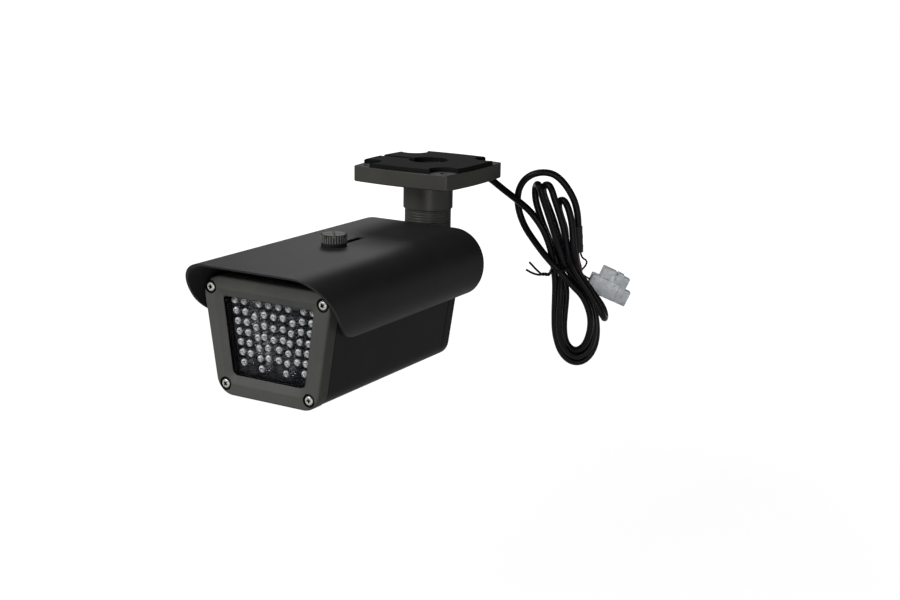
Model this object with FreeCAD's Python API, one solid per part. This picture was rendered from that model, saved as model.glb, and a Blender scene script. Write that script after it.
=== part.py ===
import FreeCAD, Part
import math
import os

# Infrared illuminator on a ceiling bracket, in millimetres.
# Origin: centre of the base plate's mounting face. +Z points up into the ceiling,
# the lamp's face looks along -Y at rest, and X is the tilt axis.

V = FreeCAD.Vector
X_AXIS, Y_AXIS, Z_AXIS = V(1, 0, 0), V(0, 1, 0), V(0, 0, 1)

# Gaps between neighbours
running_gap = 0.05       # a shaft in its own bore, on the radius
face_gap = 0.3           # faces that pass each other
seat_gap = 0.1           # a loose piece on its seat

# Base plate, cast in one with its collar
plate_side = 69.0
plate_bulge = 2.6        # how far each side bows out at its middle
plate_thickness = 10.0
plate_corner_radius = 1.5
plate_chamfer = 0.6
bolt_spacing = 57.0
bolt_hole_radius = 2.25
bolt_spot_radius = 4.4
bolt_spot_depth = 1.0
collar_radius = 16.0
collar_length = 17.9     # below the plate's underside
collar_fillet = 1.5
chamber_radius = 13.2    # open space in the plate where the cord turns
chamber_depth = 19.0
cable_hole_radius = 3.5
cable_hole_depth = 5.0   # axis below the mounting face

# Rubber gasket between plate and ceiling
gasket_thickness = 2.6
gasket_inset = 1.1
gasket_bore_radius = 12.6
gasket_scallop_radius = 8.8
gasket_groove_width = 5.4
gasket_edge_chamfer = 0.5

# Swivel stem: spigot in the collar, grooved barrel, fork for the tilt arm
spigot_radius = 11.0
stem_radius = 15.0
fork_drop = 15.0         # pivot below the barrel's end
stem_bore_radius = 5.0
groove_count = 5
groove_pitch = 1.7
groove_width = 0.7
groove_depth = 0.35
fork_ear_thickness = 6.6
fork_ear_radius = 11.0
nut_radius = 12.8
nut_thickness = 3.4
nut_notch_width = 3.0
nut_notch_depth = 1.6
washer_thickness = 0.8
lock_screw_radius = 2.0
lock_screw_depth = 23.2  # axis below the mounting face

# Tilt joint
pivot_depth = 72.0       # below the mounting face
tilt_bolt_radius = 3.0
tilt_bolt_flat = 10.0    # across flats, head and nut
tilt_head_height = 4.0
tilt_nut_height = 5.0
tilt_washer_radius = 6.2
arm_eye_radius = 10.4
arm_eye_width = 12.2
arm_cable_radius = 2.9
flange_width = 32.0
flange_height = 34.0
flange_thickness = 5.0
flange_corner_radius = 4.0
flange_screw_x = 11.0
flange_screw_z = 12.0
flange_screw_radius = 2.0
flange_screw_head_radius = 3.6
flange_screw_head_height = 2.6
flange_screw_tip_gap = 1.5
flange_web_drop = 3.0    # web starts this far inside the flange's ends

# Housing: a trapezoid box, wider at the top
body_rear_y = -30.6
body_front_y = -170.85
body_top_z = -46.1
body_height = 69.4
body_top_width = 91.0
body_bottom_width = 69.2
body_top_radius = 11.0
body_bottom_radius = 11.5
bezel_depth = 8.6
gasket_ring_thickness = 1.0
rear_cover_thickness = 8.0
shell_inset = 0.3        # shell and cover stand this far inside the bezel
shell_wall = 2.5
port_radius = 2.8
screw_top_drop = 6.92    # screw axes from the body's top, bottom and sides
screw_bottom_rise = 6.72
screw_top_inset = 5.41
screw_bottom_inset = 6.32
screw_radius = 1.5
screw_hole_radius = 1.55
screw_clear_radius = 1.7
pan_head_radius = 2.75
pan_head_height = 2.4
pocket_radius = 3.9
pocket_depth = 2.1
front_screw_length = 20.0
rear_screw_length = 20.0
rear_pocket_depth = 2.6
bezel_edge_radius = 1.5
cover_edge_chamfer = 0.8

# Window and its bevelled opening
window_drop = 11.6       # opening's edges from the bezel's top, bottom and sides
window_rise = 12.2
window_top_inset = 12.08
window_bottom_inset = 11.22
window_top_radius = 1.6
window_bottom_radius = 4.0
bevel_width = 4.8
bevel_depth = 2.2
glass_thickness = 3.0
glass_overlap = 3.7
rebate_gap = 0.3
rebate_radius = 8.0
frame_gap = 0.3          # frame's opening outside the window's

# Lamp board and its diodes
diode_radius = 2.5
diode_length = 8.6
diode_nose_length = 2.0
diode_nose_radius = 1.5
diode_glass_gap = 0.65
board_thickness = 1.6
board_overlap = 3.4
diode_row_count = 7
diode_top_drop = 3.0     # first row below the window's top edge
diode_bottom_rise = 6.6  # last row above its bottom edge
sensor_radius = 2.55
sensor_thickness = 2.1
sensor_rise = 4.6        # above the window's bottom edge

# Pillars and driver board
pillar_length = 14.0
pillar_flat = 4.0
pillar_stud_radius = 1.0
pillar_stud_length = 5.0
pillar_top_x = 14.0
pillar_bottom_x = 12.0
board_screw_head_radius = 1.9
board_screw_head_height = 1.4
board_screw_reach = 5.0  # thread in the pillar
pillar_thread_depth = 6.0
driver_inset = 1.0
inductor_radius = 6.5
inductor_height = 8.0
inductor_flange = 1.4
inductor_place = (-11.0, 8.0)    # across the board, above its middle
capacitor_radius = 4.0
capacitor_height = 12.0
capacitor_place = (9.0, 4.0)
capacitor_pitch = 10.0
sink_width = 15.0
sink_depth = 10.0
sink_back = 1.6
sink_fin_height = 8.3
sink_fin_count = 6
sink_fin_thickness = 1.0
sink_place = (-10.5, -15.5)
regulator_width = 10.2
regulator_depth = 9.0
regulator_thickness = 4.5
terminal_width = 11.0
terminal_height = 8.0
terminal_depth = 8.0
terminal_x = 8.5
terminal_rise = 0.8      # above the window's bottom edge
terminal_screw_radius = 1.7
terminal_mouth = 3.4

# Sun hood: one bent sheet that slides on the housing's top post
hood_rear_y = -15.8
hood_front_y = -187.7
hood_top_z = -35.8
hood_wall = 1.5
hood_side_gap = 5.95     # outer side from the body's widest place
hood_shoulder_radius = 21.0
hood_side_drop = 0.5     # straight stretch below the shoulder
hood_cheek_radius = 23.2
hood_lip_gap = 0.45      # inner lip from the body's side
hood_rake = 33.0         # front edge leans back, degrees
hood_front_radius = 38.0
hood_rear_radius = 3.0
hood_travel = 28.0
knob_y = -105.0
stud_radius = 2.0
stud_end_gap = 0.4

# Knob, clamp ring and post
knob_radius = 7.9
knob_height = 5.1
knob_flute_count = 30
knob_flute_depth = 0.5
knob_slot_width = 1.3
knob_slot_depth = 1.4
clamp_ring_radius = 7.6
clamp_ring_height = 2.0
post_radius = 6.0
post_spigot_radius = 3.5
stud_length = 15.5

# Cord and what is on it
cord_radius = 2.35
grommet_length = 8.6
grommet_flange_radius = 4.8
grommet_flange_thickness = 1.5
bundle_heading = 30.7    # the bundle's flat side faces this way round from -Y
bundle_depth = 38.0      # distance of the bundle's middle plane behind the origin
sleeve_radius = 2.9
wire_radius = 0.65
plug_length = 29.4
plug_height = 12.4
plug_width = 9.0
plug_slant = 24.0
plug_body_length = 20.3
plug_skirt_drop = 1.6
plug_skirt_step = 0.8
plug_crown_start = 4.7
plug_crown_length = 20.2
plug_crown_height = 7.6
plug_cavity = 4.0
plug_wire_lead = 5.2
plug_corner = (114.0, 12.6, -81.1)  # upper rear corner: across, behind, height
tie_thickness = 1.0
tie_width = 1.6
tie_slant = 17.0
tie_start = (83.0, -78.6)
tie_span = 15.8          # inside, across the waist
tie_tail = ((78.0, -4.5, -79.2), (73.5, -4.5, -77.0), (68.4, -4.5, -71.0))

# The tied hank in the bundle's plane: (across, height, corner radius) round each outline
hank_loops = ((57.9, -20, 9), (61, -10, 7), (77, -6.5, 12), (92, -11, 9), (101.5, -30, 12),
              (103.4, -45.3, 0.5), (98.2, -46.6, 1.5), (98.6, -68, 1), (84.8, -72, 1),
              (61.5, -47, 12), (57.9, -36, 9))
hank_lower = ((84.4, -80.6, 1), (98.2, -76.4, 1), (112.6, -91, 9), (120.6, -112, 12),
              (119, -132, 12), (105, -145.5, 11), (94, -141, 11), (86, -124, 15), (84.6, -106, 15))
hank_eye = ((98.4, -89.5, 2), (104, -95, 8), (110.2, -112, 8), (106.8, -128, 4), (99.8, -130, 4),
            (96.6, -116, 8))
hank_waist = ((84.2, -70, 1), (98.4, -66, 1), (97.8, -79, 1), (84.0, -83.2, 1))
hank_fold = ((96.6, -72, 0.5), (101.6, -70, 2), (123.6, -107.8, 3), (122.4, -111.8, 1.5),
             (117.4, -111.2, 2))
hank_loops_depth = (-7.5, 8.5)   # front and back of each outline, behind the middle plane
hank_lower_depth = (-7.2, 7.9)
hank_waist_depth = (-6.8, 6.8)
hank_fold_depth = (-12.8, 0.6)

# Levels and places worked out from the sizes above
collar_end_z = -plate_thickness - collar_length
nut_top_z = -chamber_depth + seat_gap + washer_thickness + nut_thickness
stem_top_z = nut_top_z + 0.3
barrel_top_z = collar_end_z - face_gap
barrel_end_z = -pivot_depth + fork_drop
pivot = V(0, 0, -pivot_depth)
fork_half_gap = arm_eye_width / 2 + 0.2
fork_half_width = fork_half_gap + fork_ear_thickness
body_bottom_z = body_top_z - body_height
bezel_back_y = body_front_y + bezel_depth
shell_front_y = bezel_back_y + gasket_ring_thickness
cover_front_y = body_rear_y - rear_cover_thickness
shell_rear_y = cover_front_y - gasket_ring_thickness
side_slope = (body_top_width - body_bottom_width) / 2 / body_height
shell_top_z = body_top_z - shell_inset
glass_front_y = body_front_y + bevel_depth
glass_back_y = glass_front_y + glass_thickness
diode_tip_y = glass_back_y + diode_glass_gap
board_front_y = diode_tip_y + diode_length
board_back_y = board_front_y + board_thickness
driver_front_y = board_back_y + pillar_length
driver_back_y = driver_front_y + board_thickness
window_top_z = body_top_z - window_drop
window_bottom_z = body_bottom_z + window_rise
board_middle_z = (window_top_z + window_bottom_z) / 2
diode_top_z = window_top_z - diode_top_drop
diode_row_pitch = (diode_top_z - window_bottom_z - diode_bottom_rise) / (diode_row_count - 1)
hood_inner_z = hood_top_z - hood_wall
hood_flat_half = body_top_width / 2 + hood_side_gap - hood_shoulder_radius
slot_front_y = knob_y - stud_radius - stud_end_gap
slot_rear_y = slot_front_y + hood_travel + 2 * (stud_radius + stud_end_gap)


def body_half(z):
    # half the body's width at a height
    return body_top_width / 2 - side_slope * (body_top_z - z)


def trapezoid(top_z, bottom_z, top_width, bottom_width):
    return [(-top_width / 2, top_z), (top_width / 2, top_z),
            (bottom_width / 2, bottom_z), (-bottom_width / 2, bottom_z)]


def offset_corners(corners, inset):
    # moves each side of a clockwise outline inwards (outwards if negative)
    lines = []
    count = len(corners)
    for i in range(count):
        a, b = corners[i], corners[(i + 1) % count]
        length = math.hypot(b[0] - a[0], b[1] - a[1])
        along = ((b[0] - a[0]) / length, (b[1] - a[1]) / length)
        lines.append(((a[0] + along[1] * inset, a[1] - along[0] * inset), along))
    moved = []
    for i in range(count):
        (p, u), (q, v) = lines[i - 1], lines[i]
        cross = u[0] * v[1] - u[1] * v[0]
        reach = ((q[0] - p[0]) * v[1] - (q[1] - p[1]) * v[0]) / cross
        moved.append((p[0] + u[0] * reach, p[1] + u[1] * reach))
    return moved


def tangent_path(points, radii, closed):
    # straight runs joined by tangent arcs; a radius belongs to each corner
    edges = []
    count = len(points)
    starts, ends = {}, {}
    corners = range(count) if closed else range(1, count - 1)
    for i in corners:
        before = (points[i - 1] - points[i]).normalize()
        after = (points[(i + 1) % count] - points[i]).normalize()
        turn = math.pi - before.getAngle(after)
        reach = radii[i] * math.tan(turn / 2)
        starts[i] = points[i] + before * reach
        ends[i] = points[i] + after * reach
        inward = (before + after).normalize()
        middle = points[i] + inward * (radii[i] / math.cos(turn / 2) - radii[i])
        edges.append((i, Part.Arc(starts[i], middle, ends[i]).toShape()))
    path = []
    arcs = dict(edges)
    for i in range(count if closed else count - 1):
        following = (i + 1) % count
        start = ends.get(i, points[i])
        end = starts.get(following, points[following])
        if i in arcs:
            path.append(arcs[i])
        if start.distanceToPoint(end) > 1e-6:
            path.append(Part.LineSegment(start, end).toShape())
    return Part.Wire(path)


def upright_face(corners, radii, y):
    wire = tangent_path([V(x, y, z) for x, z in corners], radii, True)
    return Part.Face(wire)


def slab(corners, radii, front_y, rear_y):
    return upright_face(corners, radii, front_y).extrude(V(0, rear_y - front_y, 0))


def rod(radius, start, direction, length):
    return Part.makeCylinder(radius, length, start, direction)


def hex_bar(flats, start, direction, length):
    corner = flats / math.sqrt(3)
    side = Z_AXIS if abs(direction.z) < 0.5 else X_AXIS
    other = direction.cross(side)
    ring = [start + (side * math.cos(math.radians(60 * i)) + other * math.sin(math.radians(60 * i)))
            * corner for i in range(6)]
    return Part.Face(Part.makePolygon(ring + ring[:1])).extrude(direction * length)


def turned(profile, centre, axis, radial):
    # profile: (radius, distance along the axis) points, closed by the maker
    points = [centre + radial * r + axis * d for r, d in profile]
    face = Part.Face(Part.makePolygon(points + points[:1]))
    return face.revolve(centre, axis, 360)


def body_corners(inset):
    box = trapezoid(body_top_z, body_bottom_z, body_top_width, body_bottom_width)
    return offset_corners(box, inset)


def body_radii(inset):
    top, bottom = body_top_radius - inset, body_bottom_radius - inset
    return [top, top, bottom, bottom]


def window_halves():
    return (body_half(window_top_z) - window_top_inset,
            body_half(window_bottom_z) - window_bottom_inset)


def window_corners(outset):
    top, bottom = window_halves()
    opening = trapezoid(window_top_z, window_bottom_z, 2 * top, 2 * bottom)
    return offset_corners(opening, -outset)


def screw_places():
    top_z, bottom_z = body_top_z - screw_top_drop, body_bottom_z + screw_bottom_rise
    top_x = body_half(top_z) - screw_top_inset
    bottom_x = body_half(bottom_z) - screw_bottom_inset
    return [(-top_x, top_z), (top_x, top_z), (bottom_x, bottom_z), (-bottom_x, bottom_z)]


def pillar_places():
    wall = (frame_gap + glass_overlap) / 2
    top_z, bottom_z = window_top_z + wall, window_bottom_z - wall
    return [(-pillar_top_x, top_z), (pillar_top_x, top_z),
            (pillar_bottom_x, bottom_z), (-pillar_bottom_x, bottom_z)]


def bolt_places():
    half = bolt_spacing / 2
    return [(half, half), (-half, half), (-half, -half), (half, -half)]


def bowed_square(inset, bottom_z, height):
    half, reach = plate_side / 2 - inset, plate_side / 2 + plate_bulge - inset
    corners = [V(-half, -half, bottom_z), V(half, -half, bottom_z),
               V(half, half, bottom_z), V(-half, half, bottom_z)]
    middles = [V(0, -reach, bottom_z), V(reach, 0, bottom_z),
               V(0, reach, bottom_z), V(-reach, 0, bottom_z)]
    sides = [Part.Arc(corners[i], middles[i], corners[(i + 1) % 4]).toShape() for i in range(4)]
    block = Part.Face(Part.Wire(sides)).extrude(V(0, 0, height))
    posts = [e for e in block.Edges if abs(e.tangentAt(e.FirstParameter).z) > 0.99]
    return block.makeFillet(plate_corner_radius, posts)


def edges_at(shape, axis, level, round_only=False):
    found = []
    for edge in shape.Edges:
        box = edge.BoundBox
        low, high = (box.YMin, box.YMax) if axis == "y" else (box.ZMin, box.ZMax)
        if abs(low - level) < 1e-3 and abs(high - level) < 1e-3:
            if not round_only or isinstance(edge.Curve, Part.Circle):
                found.append(edge)
    return found


def outer_edges_at(shape, axis, level):
    # the edges of the largest flat face at a level, outer outline only
    faces = [f for f in shape.Faces
             if (f.BoundBox.YLength if axis == "y" else f.BoundBox.ZLength) < 1e-6
             and abs((f.CenterOfMass.y if axis == "y" else f.CenterOfMass.z) - level) < 1e-3]
    return max(faces, key=lambda f: f.Area).OuterWire.Edges


def make_base_plate():
    plate = bowed_square(0, -plate_thickness, plate_thickness)
    plate = plate.makeChamfer(plate_chamfer, outer_edges_at(plate, "z", -plate_thickness))
    plate = plate.makeChamfer(plate_chamfer / 2, outer_edges_at(plate, "z", 0))
    collar = rod(collar_radius, V(0, 0, -plate_thickness - collar_length), Z_AXIS,
                 collar_length + plate_thickness / 2)
    plate = plate.fuse(collar).removeSplitter()
    root = [e for e in edges_at(plate, "z", -plate_thickness, True)
            if abs(e.Curve.Radius - collar_radius) < 1e-3]
    plate = plate.makeFillet(collar_fillet, root)
    plate = plate.cut(rod(chamber_radius, V(0, 0, -chamber_depth), Z_AXIS, chamber_depth + 1))
    plate = plate.cut(rod(spigot_radius + running_gap, V(0, 0, collar_end_z - 1), Z_AXIS,
                          collar_length + plate_thickness))
    plate = plate.cut(rod(cable_hole_radius, V(0, 0, -cable_hole_depth), Y_AXIS, plate_side))
    plate = plate.cut(rod(lock_screw_radius + running_gap, V(0, 0, -lock_screw_depth), Y_AXIS,
                          collar_radius + 1))
    for x, y in bolt_places():
        plate = plate.cut(rod(bolt_hole_radius, V(x, y, -plate_thickness - 1), Z_AXIS,
                              plate_thickness + 2))
        plate = plate.cut(rod(bolt_spot_radius, V(x, y, -plate_thickness - 1), Z_AXIS,
                              bolt_spot_depth + 1))
    return plate


def make_base_gasket():
    sheet = bowed_square(gasket_inset, 0, gasket_thickness)
    for x, y in bolt_places():
        sheet = sheet.cut(rod(gasket_scallop_radius, V(x, y, -1), Z_AXIS, gasket_thickness + 2))
    sheet = sheet.makeChamfer(gasket_edge_chamfer, outer_edges_at(sheet, "z", gasket_thickness))
    sheet = sheet.cut(rod(gasket_bore_radius, V(0, 0, -1), Z_AXIS, gasket_thickness + 2))
    groove = Part.makeBox(plate_side, gasket_groove_width, gasket_thickness + 2,
                          V(-plate_side, -gasket_groove_width / 2, -1))
    return sheet.cut(groove)


def make_lock_screw():
    tip = spigot_radius + face_gap
    length = collar_radius - tip - 0.4
    screw = rod(lock_screw_radius, V(0, tip, -lock_screw_depth), Y_AXIS, length)
    key = hex_bar(2.0, V(0, tip + length - 2.2, -lock_screw_depth), Y_AXIS, 3)
    return screw.cut(key)


def make_grommet():
    face_y = plate_side / 2 + plate_bulge
    bore = cord_radius + running_gap
    body = cable_hole_radius - running_gap
    flange = grommet_flange_thickness
    profile = [(bore, flange), (bore, -grommet_length + flange),
               (body, -grommet_length + flange), (body, 0),
               (grommet_flange_radius, 0), (grommet_flange_radius, flange * 0.6),
               (grommet_flange_radius - 0.7, flange)]
    return turned(profile, V(0, face_y + seat_gap / 2, -cable_hole_depth), Y_AXIS, X_AXIS)


def make_swivel_stem():
    profile = [(stem_bore_radius, stem_top_z), (spigot_radius, stem_top_z),
               (spigot_radius, barrel_top_z), (stem_radius - 0.4, barrel_top_z),
               (stem_radius, barrel_top_z - 0.4)]
    for i in range(groove_count):
        top = barrel_top_z - 1.2 - i * groove_pitch
        profile += [(stem_radius, top), (stem_radius - groove_depth, top - groove_width * 0.3),
                    (stem_radius - groove_depth, top - groove_width * 0.7),
                    (stem_radius, top - groove_width)]
    profile += [(stem_radius, barrel_end_z + 1), (stem_radius - 1, barrel_end_z),
                (stem_bore_radius, barrel_end_z)]
    barrel = turned(profile, V(0, 0, 0), Z_AXIS, X_AXIS)
    ear_top = barrel_end_z + 2
    limit = rod(stem_radius, V(0, 0, -pivot_depth - fork_ear_radius - 1), Z_AXIS,
                pivot_depth + fork_ear_radius + 1 + ear_top)
    for side in (-1, 1):
        near = fork_half_gap if side > 0 else -fork_half_width
        ear = Part.makeBox(fork_ear_thickness, 2 * fork_ear_radius, ear_top + pivot_depth,
                           V(near, -fork_ear_radius, -pivot_depth))
        ear = ear.fuse(rod(fork_ear_radius, V(near, 0, -pivot_depth), X_AXIS, fork_ear_thickness))
        barrel = barrel.fuse(ear.common(limit))
    barrel = barrel.cut(rod(stem_bore_radius, V(0, 0, barrel_end_z - 1), Z_AXIS,
                            stem_top_z - barrel_end_z + 2))
    bolt_hole = rod(tilt_bolt_radius + running_gap, V(-stem_radius - 1, 0, -pivot_depth), X_AXIS,
                    2 * stem_radius + 2)
    return barrel.cut(bolt_hole).removeSplitter()


def make_stem_washer():
    base = V(0, 0, -chamber_depth + seat_gap)
    outer = rod(nut_radius, base, Z_AXIS, washer_thickness)
    return outer.cut(rod(spigot_radius + running_gap, base - Z_AXIS, Z_AXIS, washer_thickness + 2))


def make_stem_nut():
    base = V(0, 0, -chamber_depth + seat_gap + washer_thickness)
    nut = rod(nut_radius, base, Z_AXIS, nut_thickness)
    nut = nut.cut(rod(spigot_radius + running_gap, base - Z_AXIS, Z_AXIS, nut_thickness + 2))
    for i in range(4):
        notch = Part.makeBox(nut_notch_depth + 1, nut_notch_width, nut_thickness + 2,
                             V(nut_radius - nut_notch_depth, -nut_notch_width / 2, base.z - 1))
        notch.rotate(V(0, 0, 0), Z_AXIS, 45 + 90 * i)
        nut = nut.cut(notch)
    return nut


def make_tilt_bolt():
    head_x = -fork_half_width - washer_thickness
    end_x = fork_half_width + washer_thickness + tilt_nut_height + 1
    shank = rod(tilt_bolt_radius, V(head_x, 0, -pivot_depth), X_AXIS, end_x - head_x)
    head = hex_bar(tilt_bolt_flat, V(head_x - tilt_head_height, 0, -pivot_depth), X_AXIS,
                   tilt_head_height)
    return head.fuse(shank).removeSplitter()


def make_tilt_nut():
    start = V(fork_half_width + washer_thickness, 0, -pivot_depth)
    nut = hex_bar(tilt_bolt_flat, start, X_AXIS, tilt_nut_height)
    return nut.cut(rod(tilt_bolt_radius + running_gap, start - X_AXIS, X_AXIS, tilt_nut_height + 2))


def make_tilt_washers():
    rings = []
    for x in (-fork_half_width - washer_thickness, fork_half_width):
        start = V(x, 0, -pivot_depth)
        ring = rod(tilt_washer_radius, start, X_AXIS, washer_thickness)
        rings.append(ring.cut(rod(tilt_bolt_radius + running_gap, start - X_AXIS, X_AXIS,
                                  washer_thickness + 2)))
    return Part.makeCompound(rings)


def make_tilt_arm():
    flange_y = body_rear_y + flange_thickness
    half = arm_eye_width / 2
    eye = rod(arm_eye_radius, V(-half, 0, -pivot_depth), X_AXIS, arm_eye_width)
    root = flange_height / 2 - flange_web_drop
    web = Part.Face(Part.makePolygon([
        V(-half, 0, -pivot_depth + arm_eye_radius), V(-half, flange_y, -pivot_depth + root),
        V(-half, flange_y, -pivot_depth - root), V(-half, 0, -pivot_depth - arm_eye_radius),
        V(-half, 0, -pivot_depth + arm_eye_radius)])).extrude(V(arm_eye_width, 0, 0))
    plate = slab(trapezoid(-pivot_depth + flange_height / 2, -pivot_depth - flange_height / 2,
                           flange_width, flange_width),
                 [flange_corner_radius] * 4, body_rear_y, flange_y)
    arm = eye.fuse([web, plate]).removeSplitter()
    arm = arm.cut(rod(tilt_bolt_radius + running_gap, V(-half - 1, 0, -pivot_depth), X_AXIS,
                      arm_eye_width + 2))
    bend_y = -arm_eye_radius + 0.5
    arm = arm.cut(rod(arm_cable_radius, V(0, body_rear_y - 1, -pivot_depth), Y_AXIS,
                      bend_y - body_rear_y + 1))
    arm = arm.cut(rod(arm_cable_radius, V(0, bend_y, -pivot_depth), Z_AXIS, flange_height))
    for x in (-flange_screw_x, flange_screw_x):
        for z in (-flange_screw_z, flange_screw_z):
            arm = arm.cut(rod(flange_screw_radius + running_gap,
                              V(x, body_rear_y - 1, -pivot_depth + z), Y_AXIS,
                              flange_thickness + 2))
    return arm


def pan_screw(x, seat_y, z, way, head_radius, head_height, shank_radius, length):
    # a pan head and its shank, driven along way * Y
    profile = [(0, length), (shank_radius, length), (shank_radius, 0), (head_radius, 0),
               (head_radius, -head_height * 0.6), (head_radius * 0.7, -head_height),
               (0, -head_height)]
    return turned(profile, V(x, seat_y, z), V(0, way, 0), X_AXIS)


def make_arm_screws():
    screws = []
    for x in (-flange_screw_x, flange_screw_x):
        for z in (-flange_screw_z, flange_screw_z):
            screws.append(pan_screw(x, body_rear_y + flange_thickness, -pivot_depth + z, -1,
                                    flange_screw_head_radius, flange_screw_head_height,
                                    flange_screw_radius,
                                    flange_thickness + rear_cover_thickness
                                    - flange_screw_tip_gap))
    return Part.makeCompound(screws)


def make_rear_cover():
    corners, radii = body_corners(shell_inset), body_radii(shell_inset)
    cover = slab(corners, radii, cover_front_y, body_rear_y)
    for x, z in screw_places():
        cover = cover.fuse(rod(port_radius, V(x, cover_front_y, z), Y_AXIS, rear_cover_thickness))
    cover = cover.removeSplitter()
    cover = cover.makeChamfer(cover_edge_chamfer, outer_edges_at(cover, "y", body_rear_y))
    for x, z in screw_places():
        cover = cover.cut(rod(screw_clear_radius, V(x, cover_front_y - 1, z), Y_AXIS,
                              rear_cover_thickness + 2))
        cover = cover.cut(rod(pocket_radius, V(x, body_rear_y - rear_pocket_depth, z), Y_AXIS,
                              rear_pocket_depth + 1))
    for x in (-flange_screw_x, flange_screw_x):
        for z in (-flange_screw_z, flange_screw_z):
            cover = cover.cut(rod(flange_screw_radius + running_gap,
                                  V(x, cover_front_y + flange_screw_tip_gap / 2,
                                    -pivot_depth + z), Y_AXIS, rear_cover_thickness))
    return cover.cut(rod(arm_cable_radius, V(0, cover_front_y - 1, -pivot_depth), Y_AXIS,
                         rear_cover_thickness + 2))


def ring_gasket(front_y):
    thickness = gasket_ring_thickness
    corners, radii = body_corners(shell_inset), body_radii(shell_inset)
    ring = slab(corners, radii, front_y, front_y + thickness)
    for x, z in screw_places():
        ring = ring.fuse(rod(port_radius, V(x, front_y, z), Y_AXIS, thickness))
    wall = shell_inset + shell_wall
    ring = ring.cut(slab(body_corners(wall), body_radii(wall), front_y - 1,
                         front_y + thickness + 1))
    for x, z in screw_places():
        ring = ring.fuse(rod(port_radius, V(x, front_y, z), Y_AXIS, thickness))
        ring = ring.cut(rod(screw_clear_radius, V(x, front_y - 1, z), Y_AXIS, thickness + 2))
    return ring.removeSplitter()


def make_housing_shell():
    length = shell_rear_y - shell_front_y
    corners, radii = body_corners(shell_inset), body_radii(shell_inset)
    shell = slab(corners, radii, shell_front_y, shell_rear_y)
    wall = shell_inset + shell_wall
    shell = shell.cut(slab(body_corners(wall), body_radii(wall), shell_front_y - 1,
                           shell_rear_y + 1))
    for x, z in screw_places():
        shell = shell.fuse(rod(port_radius, V(x, shell_front_y, z), Y_AXIS, length))
    for x, z in screw_places():
        shell = shell.cut(rod(screw_hole_radius, V(x, shell_front_y - 1, z), Y_AXIS, length + 2))
    shell = shell.cut(rod(post_spigot_radius + running_gap,
                          V(0, knob_y, shell_top_z - shell_wall - 1), Z_AXIS, shell_wall + 2))
    return shell.removeSplitter()


def make_front_bezel():
    bezel = slab(body_corners(0), body_radii(0), body_front_y, bezel_back_y)
    bezel = bezel.makeFillet(bezel_edge_radius, outer_edges_at(bezel, "y", body_front_y))
    opening = window_corners(0)
    opening_radii = [window_top_radius] * 2 + [window_bottom_radius] * 2
    bevel_radii = [window_top_radius + 1] * 2 + [window_bottom_radius + bevel_width] * 2
    outer = tangent_path([V(x, body_front_y, z) for x, z in window_corners(bevel_width)],
                         bevel_radii, True)
    inner = tangent_path([V(x, glass_front_y, z) for x, z in opening], opening_radii, True)
    bezel = bezel.cut(Part.makeLoft([outer, inner], True, True))
    bezel = bezel.cut(slab(opening, opening_radii, glass_front_y - 0.5, bezel_back_y + 1))
    rebate = window_corners(glass_overlap + rebate_gap)
    bezel = bezel.cut(slab(rebate, [rebate_radius] * 4, glass_front_y, bezel_back_y + 1))
    for x, z in screw_places():
        bezel = bezel.cut(rod(pocket_radius, V(x, body_front_y - 1, z), Y_AXIS, pocket_depth + 1))
        bezel = bezel.cut(rod(screw_clear_radius, V(x, body_front_y, z), Y_AXIS, bezel_depth + 1))
    return bezel


def make_window():
    glass = window_corners(glass_overlap)
    return slab(glass, [rebate_radius - rebate_gap] * 4, glass_front_y, glass_back_y)


def make_window_frame():
    outer = window_corners(glass_overlap)
    frame = slab(outer, [rebate_radius - rebate_gap] * 4, glass_back_y, board_front_y)
    inner_radii = [window_top_radius] * 2 + [window_bottom_radius] * 2
    frame = frame.cut(slab(window_corners(frame_gap), inner_radii, glass_back_y - 1,
                           board_front_y + 1))
    for x, z in pillar_places():
        frame = frame.cut(rod(pillar_stud_radius + running_gap,
                              V(x, board_front_y - pillar_stud_length, z), Y_AXIS,
                              pillar_stud_length + 1))
    return frame


def corner_screws(front):
    screws = []
    for x, z in screw_places():
        if front:
            screws.append(pan_screw(x, body_front_y + pocket_depth, z, 1, pan_head_radius,
                                    pan_head_height, screw_radius, front_screw_length))
        else:
            screws.append(pan_screw(x, body_rear_y - rear_pocket_depth, z, -1, pan_head_radius,
                                    pan_head_height, screw_radius, rear_screw_length))
    return Part.makeCompound(screws)


def diode_places():
    # rows and columns as shares of the row pitch and of the window's half width there
    top, bottom = window_halves()
    narrowing = (top - bottom) / (window_top_z - window_bottom_z)
    places = []

    def add(share, row):
        z = diode_top_z - row * diode_row_pitch
        x = share * (top - narrowing * (window_top_z - z))
        places.extend([(-x, z), (x, z)] if x > 0 else [(0.0, z)])

    for row in range(diode_row_count):
        add(0.882 - 0.011 * row, row)
    for row in range(diode_row_count - 1):
        add(0.670 - 0.0127 * row, row)
        add(0.442 - 0.0225 * row, row + 1.32)
    add(0.332, 0)
    add(0.112, 0)
    for row in range(3):
        add(0.217 + 0.007 * row, 1 + 1.07 * row)
        add(0, 1.07 + 1.1 * row)
    for row in range(2):
        add(0.139, 4.13 + 1.03 * row)
    return places


def make_diodes():
    # few faces each, as there are many: a barrel and a tapered nose
    profile = [(0, 0), (diode_radius, 0), (diode_radius, -diode_length + diode_nose_length),
               (diode_nose_radius, -diode_length), (0, -diode_length)]
    diode = turned(profile, V(0, board_front_y, 0), Y_AXIS, X_AXIS)
    copies = []
    for x, z in diode_places():
        copy = diode.copy()
        copy.translate(V(x, 0, z))
        copies.append(copy)
    return Part.makeCompound(copies)


def make_light_sensor():
    start = V(0, board_front_y - sensor_thickness, window_bottom_z + sensor_rise)
    return rod(sensor_radius, start, Y_AXIS, sensor_thickness)


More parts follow.
